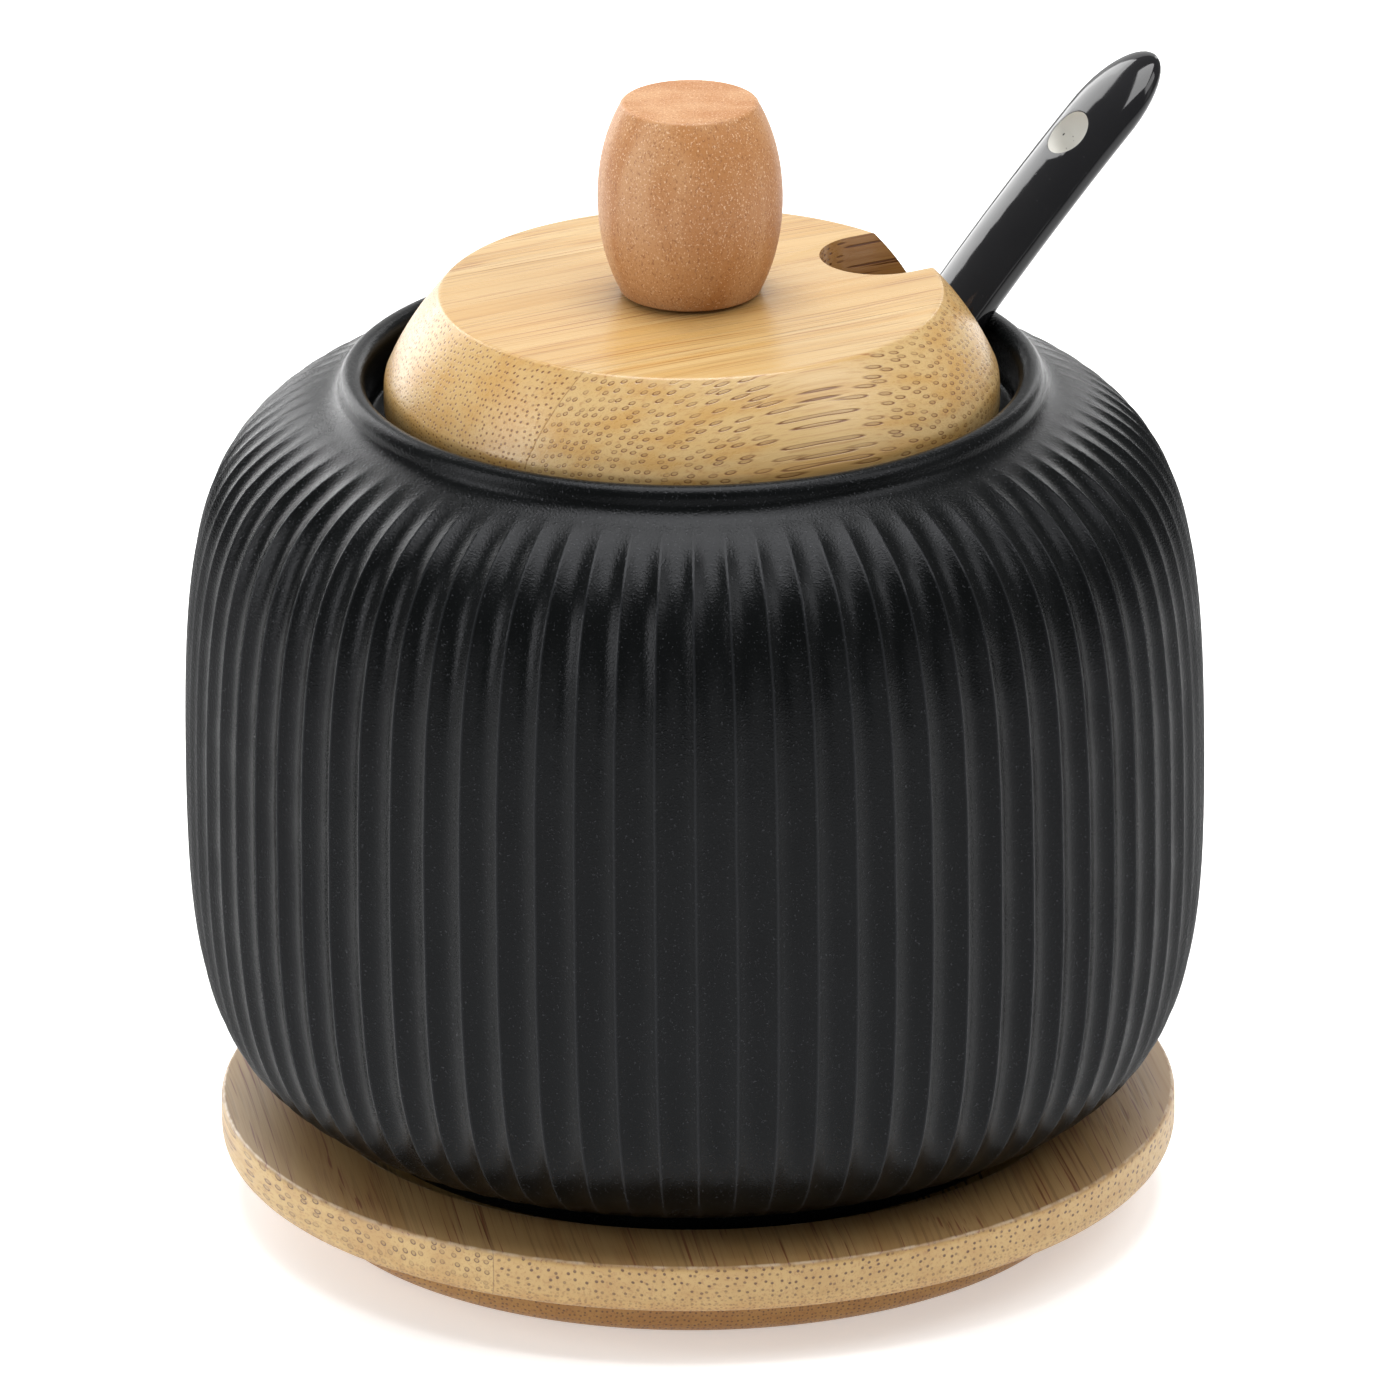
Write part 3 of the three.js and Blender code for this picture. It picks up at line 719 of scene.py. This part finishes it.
def centre_line(u):
    """Bent up at the scoop and drooping a little at the handle's end."""
    bend = max(0, 1 - u / (SCOOP_LENGTH + 6))
    droop = max(0, (u - DROOP_START) / (SPOON_LENGTH - DROOP_START))
    return SCOOP_BEND * bend**2 - HANDLE_DROOP * droop**2


# %% [markdown]
# ## Growing the spoon
#
# The stations stand close together at the scoop's tip and at the handle's end, where the width
# changes fast, which a cosine spacing gives. Both ends are closed with one small face.

# %% Grow the spoon from a ring
RING_POINTS = 48
SCOOP_STATIONS = 44
HANDLE_STATIONS = 46


def station_distances():
    share = [(1 - math.cos(math.pi * k / SCOOP_STATIONS)) / 2 for k in range(SCOOP_STATIONS)]
    scoop = [SCOOP_LENGTH * blend(0.002, 1, s) for s in share]
    rest = SPOON_LENGTH - SCOOP_LENGTH
    handle = [SCOOP_LENGTH + rest * 0.9999 * math.sin(math.pi / 2 * k / HANDLE_STATIONS)
              for k in range(HANDLE_STATIONS + 1)]
    return scoop + handle


def fit_ring(ring, u):
    """Places a ring's vertices on the section at u: a belly below, a hollow or a crown above."""
    width = half_width(u)
    upper_width = width - SCOOP_LIP * scoop_share(u, 0)
    for index, v in enumerate(ring):
        angle = math.tau * index / len(ring)
        side, rise = math.cos(angle), math.sin(angle)
        if rise >= 0:
            across, up = upper_width * side, upper_height(u) * rise**0.8
        else:
            across, up = width * side, under_depth(u) * rise
        v.co = Vector((u, across, centre_line(u) + up)) * MM


def grow_spoon():
    bm = bmesh.new()
    distances = station_distances()
    ring = bmesh.ops.create_circle(bm, cap_ends=True, segments=RING_POINTS, radius=MM)["verts"]
    fit_ring(ring, distances[0])
    for u in distances[1:]:
        loop = [bm.edges.get((a, b)) for a, b in zip(ring, ring[1:] + ring[:1])]
        fresh = set(new_vertices(bmesh.ops.extrude_edge_only(bm, edges=loop)))
        ring = [next(e.other_vert(v) for e in v.link_edges if e.other_vert(v) in fresh)
                for v in ring]
        fit_ring(ring, u)
    bm.faces.new(ring)
    bmesh.ops.recalc_face_normals(bm, faces=bm.faces)
    return bm


# %% [markdown]
# ## The hanging hole
#
# A round hole near the handle's end lets the spoon hang on a hook. A plain pin bores it, and its
# edges are rounded as those of the notch were, because glaze never leaves a sharp edge. Glaze ran
# off the wall of the hole, so the pale clay shows there; the mark that the rounding leaves on the
# wall tells the finish where.

# %% Bore the hanging hole
HANG_HOLE_RADIUS = 2.45
HANG_HOLE_INSET = 11.2
HOLE_ROUND = 0.65
PIN_LENGTH = 20

hole_u = SPOON_LENGTH - HANG_HOLE_INSET


def hole_tool():
    """A pin standing across the handle where the hole is."""
    bm = bmesh.new()
    bmesh.ops.create_cone(bm, cap_ends=True, segments=64, radius1=HANG_HOLE_RADIUS * MM,
                          radius2=HANG_HOLE_RADIUS * MM, depth=PIN_LENGTH * MM)
    bmesh.ops.translate(bm, vec=Vector((hole_u, 0, centre_line(hole_u))) * MM, verts=bm.verts)
    return as_object(bm, "hole_tool")


def hole_distance(place):
    """How far a place is outside the wall of the hole, while the spoon lies along X."""
    along, across, _ = Vector(place) / MM
    return math.hypot(along - hole_u, across) - HANG_HOLE_RADIUS


spoon = as_object(grow_spoon(), "ceramic_spoon")
carve(spoon, hole_tool())
round_rim(spoon, hole_distance, HOLE_ROUND)
report_piece(spoon)

# %% [markdown]
# ## How the spoon leans
#
# The tip of the scoop sits in the far curve of the floor and the back of the handle lies on the
# lip. The lean follows from these two contacts; a few rounds of correction find it, because the
# place where the handle touches moves as the spoon tips.

# %% Lean the spoon on the lip
SEAT_INSET = 7.0
SEAT_RISE = 2.5
GAP = 0.3


def spoon_lean(tip):
    """The lean from upright at which the handle's back just clears the lip."""
    lip = Vector((MOUTH_RADIUS + LIP_WIDTH / 2, bowl_height - LIP_ROUND))
    stand = LIP_WIDTH / 2 + GAP
    lean = math.pi / 4
    for _ in range(12):
        contact = lip + Vector((-math.cos(lean), math.sin(lean))) * stand
        chord = contact - tip
        rise = centre_line(chord.length) - under_depth(chord.length) - centre_line(0)
        lean = math.atan2(chord.x, chord.y) + math.asin(rise / chord.length)
    return lean


def lean_spoon(piece):
    tip = Vector((-(FLOOR_RADIUS + SEAT_INSET), FLOOR_HEIGHT + SEAT_RISE))
    lean = spoon_lean(tip)
    drop = Matrix.Translation((0, 0, -centre_line(0) * MM))
    tilt = Matrix.Rotation(lean - math.pi / 2, 4, "Y")
    stand = Matrix.Translation(Vector((tip.x, 0, bowl_low.z + tip.y)) * MM)
    turn = Matrix.Rotation(SPOON_AZIMUTH, 4, "Z")
    piece.data.transform(turn @ stand @ tilt @ drop)
    print("spoon leans", round(math.degrees(lean), 2), "degrees from upright")


lean_spoon(spoon)
seat(spoon, "spoon", "spoon")

# %% [markdown]
# ## A small kit for finishes
#
# A finish is a graph of nodes. The helper below adds nodes, plugs them together and leaves plain
# numbers on the sockets, so that each finish reads from the pattern to the shader. All patterns
# read Object coordinates, turned to millimetres, so a grain line keeps its real width.

# %% The finish helper
class Finish:
    """A material under construction, with its Principled shader."""

    def __init__(self, name, roughness, **sockets):
        self.material = bpy.data.materials.new(name)
        self.material.use_nodes = True
        self.tree = self.material.node_tree
        self.shader = self.tree.nodes["Principled BSDF"]
        self.set(self.shader, {"Roughness": roughness, **sockets})

    def set(self, node, inputs):
        for socket, value in inputs.items():
            if isinstance(value, bpy.types.NodeSocket):
                self.tree.links.new(value, node.inputs[socket])
            else:
                node.inputs[socket].default_value = value

    def add(self, kind, inputs, **settings):
        node = self.tree.nodes.new(kind)
        for key, value in settings.items():
            setattr(node, key, value)
        self.set(node, inputs)
        return node

    def grain_space(self, turn=(0, 0, 0), centre=(0, 0, 0)):
        """Object coordinates in millimetres, turned so that X runs along the grain."""
        where = self.add("ShaderNodeTexCoord", {}).outputs["Object"]
        scale = (1 / MM, 1 / MM, 1 / MM)
        placed = self.add("ShaderNodeMapping", {"Vector": where, "Location": centre,
                                                "Rotation": turn, "Scale": scale})
        return placed.outputs["Vector"]

    def mark(self, name):
        """A value that the mesh carries since it was shaped."""
        return self.add("ShaderNodeAttribute", {}, attribute_name=name).outputs["Fac"]

    def math(self, operation, first, second=0.0, third=0.0, clamp=False):
        node = self.add("ShaderNodeMath", {0: first, 1: second, 2: third}, operation=operation,
                        use_clamp=clamp)
        return node.outputs["Value"]

    def times(self, first, second):
        return self.math("MULTIPLY", first, second)

    def stretch(self, vector, scale):
        node = self.add("ShaderNodeVectorMath", {0: vector, 1: scale}, operation="MULTIPLY")
        return node.outputs["Vector"]

    def axes(self, vector):
        return self.add("ShaderNodeSeparateXYZ", {"Vector": vector}).outputs

    def from_axis(self, space):
        """Distance from the set's axis."""
        flat = self.stretch(space, (1, 1, 0))
        return self.add("ShaderNodeVectorMath", {0: flat}, operation="LENGTH").outputs["Value"]

    def noise(self, vector, scale, detail=2.0, roughness=0.5):
        """Noise on a vector that is first stretched by a scale for each axis."""
        node = self.add("ShaderNodeTexNoise", {"Vector": self.stretch(vector, scale), "Scale": 1.0,
                                               "Detail": detail, "Roughness": roughness})
        return node.outputs["Fac"]

    def ease(self, value, low, high, start=0.0, end=1.0):
        """Goes smoothly from start to end while value goes from low to high."""
        node = self.add("ShaderNodeMapRange", {"Value": value, "From Min": low, "From Max": high,
                                               "To Min": start, "To Max": end},
                        interpolation_type="SMOOTHSTEP")
        return node.outputs["Result"]

    def mix(self, share, first, second, blend_type="MIX"):
        node = self.add("ShaderNodeMix", {"Factor": share, "A": first, "B": second},
                        data_type="RGBA", blend_type=blend_type)
        return node.outputs["Result"]

    def bump(self, height, depth, strength=1.0):
        """Plugs a height pattern into the shader; depth is the real height in metres."""
        node = self.add("ShaderNodeBump", {"Height": height, "Distance": depth,
                                           "Strength": strength})
        self.set(self.shader, {"Normal": node.outputs["Normal"]})

    def wear(self, *pieces):
        for piece in pieces:
            piece.data.materials.clear()
            piece.data.materials.append(self.material)
        nodes = len(self.tree.nodes)
        print(f"{self.material.name}: {nodes} nodes on", [piece.name for piece in pieces])


# %% [markdown]
# ## Matt black glaze
#
# A matt glaze is a glass full of tiny crystals. It scatters a highlight into a soft sheen with a
# fine sparkle in it, and it is thinner and a little greyer on the ridges. A fine noise in the bump
# gives the sparkle, and the same noise puts lighter flecks into the colour, partly the glaze's own
# crystal specks and partly a painted sparkle; a slower noise lets the roughness drift.

# %% Glaze the bowl
def matt_black_glaze():
    glaze = Finish("matt_black_glaze", 0.22, **{"Specular IOR Level": 0.115,
                                                "Specular Tint": (0.94, 0.95, 1.0, 1)})
    space = glaze.grain_space()
    crystals = glaze.noise(space, (4.4, 4.4, 4.4), detail=2, roughness=0.6)
    cloud = glaze.noise(space, (0.12, 0.12, 0.05), detail=4)
    tint = glaze.mix(glaze.ease(cloud, 0.35, 0.7), (0.0018, 0.0022, 0.0022, 1),
                     (0.0031, 0.0036, 0.0037, 1))
    ridge = glaze.mark("ridge")
    thinned = glaze.mix(glaze.times(ridge, 0.6), tint, (0.020, 0.021, 0.023, 1))
    # lighter flecks in the colour: partly the glaze's own crystal specks, partly a painted sparkle
    flecked = glaze.mix(glaze.ease(crystals, 0.62, 0.74), thinned, (0.030, 0.031, 0.034, 1))
    drift = glaze.ease(cloud, 0.3, 0.75, 0.19, 0.24)
    grained = glaze.math("ADD", drift, glaze.ease(crystals, 0.35, 0.7, 0.05, -0.05))
    rough = glaze.math("MULTIPLY_ADD", ridge, -0.09, grained)
    glaze.set(glaze.shader, {"Base Color": flecked, "Roughness": rough})
    glaze.bump(crystals, 0.00007, 0.6)
    return glaze


matt_black_glaze().wear(bowl)

# %% [markdown]
# ## Gloss black glaze
#
# The spoon's glaze is poured glass: nearly a mirror, with the faint waves that a thick glaze keeps
# from its melting, and a few pinholes. The wall of the hanging hole is bare: pale clay with a few
# dark specks.

# %% Glaze the spoon
def gloss_black_glaze():
    glaze = Finish("gloss_black_glaze", 0.08, **{"Specular IOR Level": 0.4})
    space = glaze.grain_space()
    waves = glaze.noise(space, (0.16, 0.16, 0.16), detail=2)
    pinholes = glaze.ease(glaze.noise(space, (2.2, 2.2, 2.2), detail=1), 0.74, 0.8)
    tint = glaze.mix(waves, (0.0045, 0.0045, 0.0055, 1), (0.0085, 0.0085, 0.0095, 1))
    speckled = glaze.mix(pinholes, tint, (0.02, 0.02, 0.022, 1))
    rough = glaze.ease(waves, 0.3, 0.7, 0.06, 0.11)
    bare = glaze.mark("bare")
    specks = glaze.ease(glaze.noise(space, (1.8, 1.8, 1.8), detail=1), 0.72, 0.75)
    clay = glaze.mix(specks, (0.56, 0.55, 0.51, 1), (0.02, 0.02, 0.02, 1))
    glaze.set(glaze.shader, {"Base Color": glaze.mix(bare, speckled, clay),
                             "Roughness": glaze.ease(bare, 0.0, 1.0, rough, 0.6)})
    dented = glaze.math("MULTIPLY_ADD", pinholes, -0.03, waves)
    glaze.bump(dented, 0.0002, 0.4)
    return glaze


gloss_black_glaze().wear(spoon)

# %% [markdown]
# ## Bamboo
#
# Bamboo has no year rings. Its stalk is a pale ground tissue threaded lengthwise by bundles of
# dark fibre, and a board is glued from strips of it. Where a cut runs across the strips, each
# bundle shows as a small dark crescent; where a cut runs along them, the same bundles show as fine
# streaks. A picture wrapped round the piece would get this wrong at every edge. Here the bundles
# are columns in space: a two-dimensional cell pattern in the plane across the grain, the same all
# along it but for a slow wander. The surface cuts them as a saw would, and dots and streaks come
# out by themselves. Towards the stalk's skin the bundles are dark and crowded.

# %% Bamboo from strips and bundles
RING_WIDTH = 0.11  # of the dark ring round a bundle, as a share of the spacing
INNER_SPACING = 0.5  # of the small bundles deep in the board
JOINT_WIDTH = 0.09
FACE_START, FACE_FULL = 0.5, 0.1  # depths under the face between which its look sets in


def bundle_plane(wood, axes, chance, spacing):
    """Places in the plane across the grain, counted in bundles and shuffled for each strip."""
    across = wood.math("DIVIDE", wood.math("MULTIPLY_ADD", chance, 31.0, axes["Y"]), spacing)
    upward = wood.math("DIVIDE", wood.math("MULTIPLY_ADD", chance, 17.0, axes["Z"]), spacing)
    return wood.add("ShaderNodeCombineXYZ", {"X": across, "Y": upward}).outputs["Vector"]


def crescents(wood, plane, size, filled):
    """A dark ring for each bundle, heavier on its lower side; filled is how dark its core is."""
    cells = wood.add("ShaderNodeTexVoronoi", {"Vector": plane, "Scale": 1.0, "Randomness": 0.6},
                     voronoi_dimensions="2D")
    distance = cells.outputs["Distance"]
    inward = wood.add("ShaderNodeVectorMath", {0: plane, 1: cells.outputs["Position"]},
                      operation="SUBTRACT").outputs["Vector"]
    lower_side = wood.axes(inward)["Y"]
    off_ring = wood.math("ABSOLUTE", wood.math("SUBTRACT", distance, size))
    ring = wood.ease(off_ring, 0.0, RING_WIDTH, 1.0, 0.0)
    heavier = wood.ease(lower_side, -0.15, 0.2, 1.0, 0.6)
    core = wood.times(wood.math("LESS_THAN", distance, size), filled)
    each = wood.add("ShaderNodeSeparateColor", {"Color": cells.outputs["Color"]}).outputs["Red"]
    shape = wood.math("MAXIMUM", wood.times(ring, heavier), core)
    return wood.times(shape, wood.ease(each, 0.0, 0.6, 0.65, 1.0))


def bamboo(name, turn, strip_width, strip_shift, spacings, colours, top, skin, roughness):
    """Laminated bamboo, its grain turned from X.

    spacings: of the bundles, in every first and every second strip.
    top: the height of the board's face. skin: where the bundles grow strong.
    """
    wood = Finish(name, roughness)
    space = wood.grain_space(turn=(0, 0, -turn))
    pale, warm, fibre, dark = colours
    drift = wood.add("ShaderNodeTexNoise", {"Vector": wood.stretch(space, (0.022, 0.07, 0.07)),
                                            "Scale": 1.0, "Detail": 1.0}).outputs["Color"]
    push = wood.add("ShaderNodeVectorMath", {0: drift, 1: (0.5, 0.5, 0.5)}, operation="SUBTRACT")
    wander = wood.stretch(push.outputs["Vector"], (0.0, 2.6, 2.6))
    bent = wood.add("ShaderNodeVectorMath", {0: space, 1: wander},
                    operation="ADD").outputs["Vector"]
    straight = wood.axes(space)
    axes = wood.axes(bent)

    strips = wood.math("MULTIPLY_ADD", straight["Y"], 1 / strip_width, strip_shift)
    strip = wood.math("FLOOR", strips)
    chance = wood.add("ShaderNodeTexWhiteNoise", {"W": strip},
                      noise_dimensions="1D").outputs["Value"]
    joint = wood.ease(wood.math("PINGPONG", strips, 0.5), 0.0, JOINT_WIDTH / strip_width, 1.0, 0.0)
    second = wood.math("FLOORED_MODULO", strip, 2.0)
    spacing = wood.ease(second, 0.0, 1.0, *spacings)
    near_skin = wood.ease(straight["Z"], *skin)
    filled = wood.ease(second, 0.0, 1.0, 0.9, 0.3)
    size = wood.ease(second, 0.0, 1.0, 0.13, 0.2)
    outer = crescents(wood, bundle_plane(wood, axes, chance, spacing), size, filled)
    bundles = wood.times(outer, wood.math("MULTIPLY_ADD", near_skin, 0.85, 0.15))
    small = crescents(wood, bundle_plane(wood, axes, chance, INNER_SPACING), 0.16, 0.9)
    inner = wood.times(small, wood.math("MULTIPLY_ADD", near_skin, -0.8, 0.8))
    below_top = wood.ease(straight["Z"], top - 0.45, top - 0.1, 1.0, 0.3)
    bundle = wood.times(wood.math("MAXIMUM", bundles, inner), below_top)

    threads = wood.noise(bent, (0.03, 3.2, 3.2), detail=3, roughness=0.6)
    hairs = wood.noise(bent, (0.035, 3.8, 3.8), detail=1)
    bands = wood.noise(bent, (0.010, 0.32, 0.5), detail=3)
    ground = wood.mix(wood.ease(chance, 0.1, 0.9, 0.0, 0.5), pale, warm)
    banded = wood.mix(wood.ease(bands, 0.40, 0.66, 0.0, 0.8), ground, warm)
    threaded = wood.mix(wood.ease(threads, 0.5, 0.78, 0.0, 0.5), banded, fibre)
    on_face = wood.ease(straight["Z"], top - FACE_START, top - FACE_FULL, 0.2, 0.85)
    hair = wood.times(wood.ease(hairs, 0.61, 0.69), on_face)
    haired = wood.mix(hair, threaded, fibre)
    ringed = wood.mix(bundle, haired, dark)
    glued = wood.mix(wood.times(joint, 0.5), ringed, dark)
    rough = wood.ease(threads, 0.3, 0.75, roughness - 0.04, roughness + 0.08)
    finished = wood.mix(wood.mark("bare"), glued, (0.78, 0.60, 0.44, 1), "MULTIPLY")
    wood.set(wood.shader, {"Base Color": finished, "Roughness": rough})
    relief = wood.math("MULTIPLY_ADD", bundle, -0.8, wood.times(threads, 0.4))
    wood.bump(wood.math("MULTIPLY_ADD", joint, -0.6, relief), 0.00006, 0.5)
    return wood, finished


# %% [markdown]
# ## The saucer's board
#
# The saucer's strips run nearly from front to back, so its rim shows crescents at the front and
# streaks at the sides. Its corners were sanded after turning; a thin pale line is painted round the
# seat of the bowl and a fainter one along the top edge, both broken here and there, partly sanding
# wear and partly a painted highlight where the edges catch the light. The top face is painted
# darker and greyer than the rim, as painted shade under the bowl's overhang, and the layer under
# the rim is browner.

# %% Finish the saucer
SAUCER_GRAIN = math.radians(-81)
SAUCER_COLOURS = ((0.49, 0.325, 0.120, 1), (0.42, 0.25, 0.080, 1),  # ground, pale and warm
                  (0.24, 0.080, 0.032, 1), (0.085, 0.027, 0.008, 1))  # fibre and bundle
# pale lines along the sanded edges: partly sanding wear, partly a painted highlight where the edges
# catch the light
WORN_AND_GLINTING_EDGES = ((RECESS_RADIUS + 0.1, 0.7), (saucer_radius - 0.3, 0.25))  # radius and strength


def saucer_bamboo():
    wood, surface = bamboo("saucer_bamboo", SAUCER_GRAIN, strip_width=75.0, strip_shift=0.351,
                           spacings=(0.82, 0.98), colours=SAUCER_COLOURS, top=saucer_height,
                           skin=(saucer_height - 6.0, saucer_height - 1.5), roughness=0.42)
    space = wood.grain_space()
    out = wood.from_axis(space)
    lines = []
    for edge, strength in WORN_AND_GLINTING_EDGES:
        off_edge = wood.math("ABSOLUTE", wood.math("SUBTRACT", out, edge))
        lines.append(wood.ease(off_edge, 0.05, 0.22, strength, 0.0))
    up = wood.axes(space)["Z"]
    near_top = wood.ease(up, saucer_height - 0.6, saucer_height - 0.2)
    breaks = wood.ease(wood.noise(space, (0.6, 0.6, 0.6), detail=3), 0.42, 0.62)
    line = wood.math("MAXIMUM", *lines)
    # the pale edge line, broken by noise: partly wear, partly a painted highlight
    wear_and_glint_line = wood.times(line, wood.times(near_top, breaks))
    # painted shade: the top face is multiplied darker and greyer, standing in for the shade under
    # the bowl's overhang
    face = wood.ease(up, saucer_height - FACE_START, saucer_height - FACE_FULL)
    top_shaded = wood.mix(face, surface, (0.76, 0.72, 0.80, 1), "MULTIPLY")
    worn_and_glinting = wood.mix(wear_and_glint_line, top_shaded, (0.86, 0.74, 0.56, 1))
    rim_under = saucer_height - RIM_THICKNESS
    lower_layer = wood.ease(up, rim_under - 0.6, rim_under + 1.4, 1.0, 0.0)
    browned = wood.mix(lower_layer, worn_and_glinting, (0.76, 0.60, 0.36, 1), "MULTIPLY")
    wood.set(wood.shader, {"Base Color": browned, "Specular IOR Level": 0.7})
    return wood


saucer_bamboo().wear(saucer)

# %% [markdown]
# ## The lid's board
#
# The lid is cut from a paler board with a warmer stripe. Its strips run from the front left to the
# notch, so the sloping side shows crescents at the left, long streaks at the right of the front,
# and crescents again at the notch.

# %% Finish the lid
LID_GRAIN = math.radians(28)
LID_COLOURS = ((0.52, 0.355, 0.155, 1), (0.46, 0.265, 0.080, 1),
               (0.31, 0.14, 0.042, 1), (0.14, 0.050, 0.012, 1))


def lid_bamboo():
    wood, _ = bamboo("lid_bamboo", LID_GRAIN, strip_width=30.0, strip_shift=0.4933,
                     spacings=(0.62, 0.76), colours=LID_COLOURS, top=lid_high.z,
                     skin=(lid_low.z - 8, lid_high.z - 5), roughness=0.3)
    wood.set(wood.shader, {"Specular IOR Level": 0.55})
    return wood


lid_bamboo().wear(lid)

# %% [markdown]
# ## Beech
#
# Beech is pinkish and even, with short dark flecks where its rays are cut. The knob is turned with
# the grain upright, so the flecks are short upright dashes on the barrel and dots on the top.

# %% Finish the knob
def knob_beech():
    wood = Finish("knob_beech", 0.5)
    space = wood.grain_space(centre=(0, 0, -knob_low.z))
    flecks = wood.noise(space, (4.8, 4.8, 2.9), detail=2, roughness=0.6)
    figure = wood.noise(space, (0.16, 0.32, 0.05), detail=3)
    pores = wood.noise(space, (5.6, 5.6, 4.0), detail=2, roughness=0.6)
    base = wood.mix(wood.ease(figure, 0.35, 0.65), (0.47, 0.245, 0.105, 1), (0.39, 0.165, 0.048, 1))
    flecked = wood.mix(wood.ease(flecks, 0.54, 0.68, 0.0, 0.65), base, (0.22, 0.075, 0.022, 1))
    pored = wood.mix(wood.ease(pores, 0.58, 0.68, 0.0, 0.7), flecked, (0.72, 0.50, 0.32, 1))
    rough = wood.ease(flecks, 0.3, 0.7, 0.44, 0.56)
    wood.set(wood.shader, {"Base Color": pored, "Roughness": rough})
    wood.bump(wood.math("SUBTRACT", pores, flecks), 0.00005, 0.5)
    return wood


knob_beech().wear(knob)

# %% [markdown]
# ## Steel
#
# The screw is zinc-bright steel with fine rings from its turning.

# %% Finish the screw
def screw_steel():
    steel = Finish("screw_steel", 0.3, Metallic=1.0)
    space = steel.grain_space()
    rings = steel.math("SINE", steel.times(steel.from_axis(space), 40.0))
    stain = steel.noise(space, (0.8, 0.8, 0.8), detail=4)
    tint = steel.mix(steel.ease(stain, 0.35, 0.7), (0.62, 0.62, 0.63, 1), (0.44, 0.43, 0.42, 1))
    rough = steel.ease(stain, 0.3, 0.7, 0.22, 0.4)
    steel.set(steel.shader, {"Base Color": tint, "Roughness": rough})
    steel.bump(rings, 0.00001, 0.3)
    return steel


screw_steel().wear(screw)

# %% [markdown]
# ## Table and light
#
# The set stands on a plain pale table, which glows faintly like a light table so that the shadow
# under the saucer stays soft. A soft box overhead lights the lid and the shoulder. A window at
# each side shapes the flutes: the left one is strong, and the right one is weak, with a higher box
# beside it for the lid and the knob. A tall box at each side, well behind, draws a bright line
# down the ridges near the bowl's edges. A wide wall of light at the back gives the lid and the
# saucer a pale sheen, and a faint card in front lifts the collar. The room fills in the rest.

# %% Lay the table
TABLE_GAP = 0.02  # keeps the table's face off the underside of the saucer
TABLE_SIZE = 6  # half its width, in metres


def lay_table():
    bm = bmesh.new()
    bmesh.ops.create_grid(bm, x_segments=1, y_segments=1, size=TABLE_SIZE)
    bmesh.ops.translate(bm, vec=(0, 0, -TABLE_GAP * MM), verts=bm.verts)
    table = as_object(bm, "table_top")
    paint = Finish("pale_table", 0.6, **{
        "Base Color": (0.93, 0.93, 0.93, 1), "Specular IOR Level": 0.2,
        "Emission Color": (1, 1, 1, 1), "Emission Strength": 0.4})
    paint.wear(table)


lay_table()

# %% Light the set
def soft_box(name, place, size, power, aim=(0, 0, 0.05)):
    light = bpy.data.lights.new(name, "AREA")
    light.shape = "RECTANGLE"
    light.size, light.size_y = size
    light.energy = power
    lamp = bpy.data.objects.new(name, light)
    lamp.location = place
    lamp.rotation_euler = (Vector(aim) - Vector(place)).to_track_quat("-Z", "Y").to_euler()
    bpy.context.scene.collection.objects.link(lamp)


soft_box("overhead", (0.0, 0.1, 0.98), (0.66, 0.75), 10.2, aim=(0, 0.1, 0.05))
soft_box("left_window", (-1.15, -0.35, 0.5), (0.45, 0.8), 5.8)
soft_box("right_window", (1.15, -0.25, 0.5), (0.3, 0.7), 0.35)
soft_box("right_high", (0.62, -0.15, 0.8), (0.5, 0.5), 2.8)
soft_box("left_back", (-0.72, 1.0, 0.48), (0.6, 1.0), 8.5)
soft_box("right_back", (0.5, 1.1, 0.4), (0.2, 0.8), 1.0)
soft_box("back_wall", (0.0, 1.4, 0.6), (1.6, 0.9), 3.8)
soft_box("front_card", (0.0, -1.4, 0.26), (1.4, 0.34), 1.6)

room = bpy.data.worlds.new("room")
room.use_nodes = True
background = room.node_tree.nodes["Background"].inputs
background["Color"].default_value = (1, 1, 1, 1)
background["Strength"].default_value = 0.3
bpy.context.scene.world = room
bpy.context.scene.view_settings.view_transform = "Standard"

# %% [markdown]
# ## Camera
#
# A long lens from well back, looking down at 21 degrees, keeps the ellipses of the mouth and the
# saucer calm. The whole set fills the frame.

# %% Set up the camera
def set_camera(target, elevation, distance, lens, roll):
    data = bpy.data.cameras.new("camera")
    data.lens = lens
    data.sensor_width = 36
    data.clip_end = 50
    camera = bpy.data.objects.new("camera", data)
    away = Vector((0, -math.cos(elevation), math.sin(elevation)))
    camera.location = Vector(target) + away * distance
    look = Euler((math.pi / 2 - elevation, 0, 0)).to_matrix()
    camera.rotation_euler = (look @ Matrix.Rotation(roll, 3, "Z")).to_euler()
    bpy.context.scene.collection.objects.link(camera)
    bpy.context.scene.camera = camera


set_camera(target=(0.00053, 0, 0.05106), elevation=math.radians(21.13), distance=1.715, lens=450,
           roll=math.radians(-0.5))
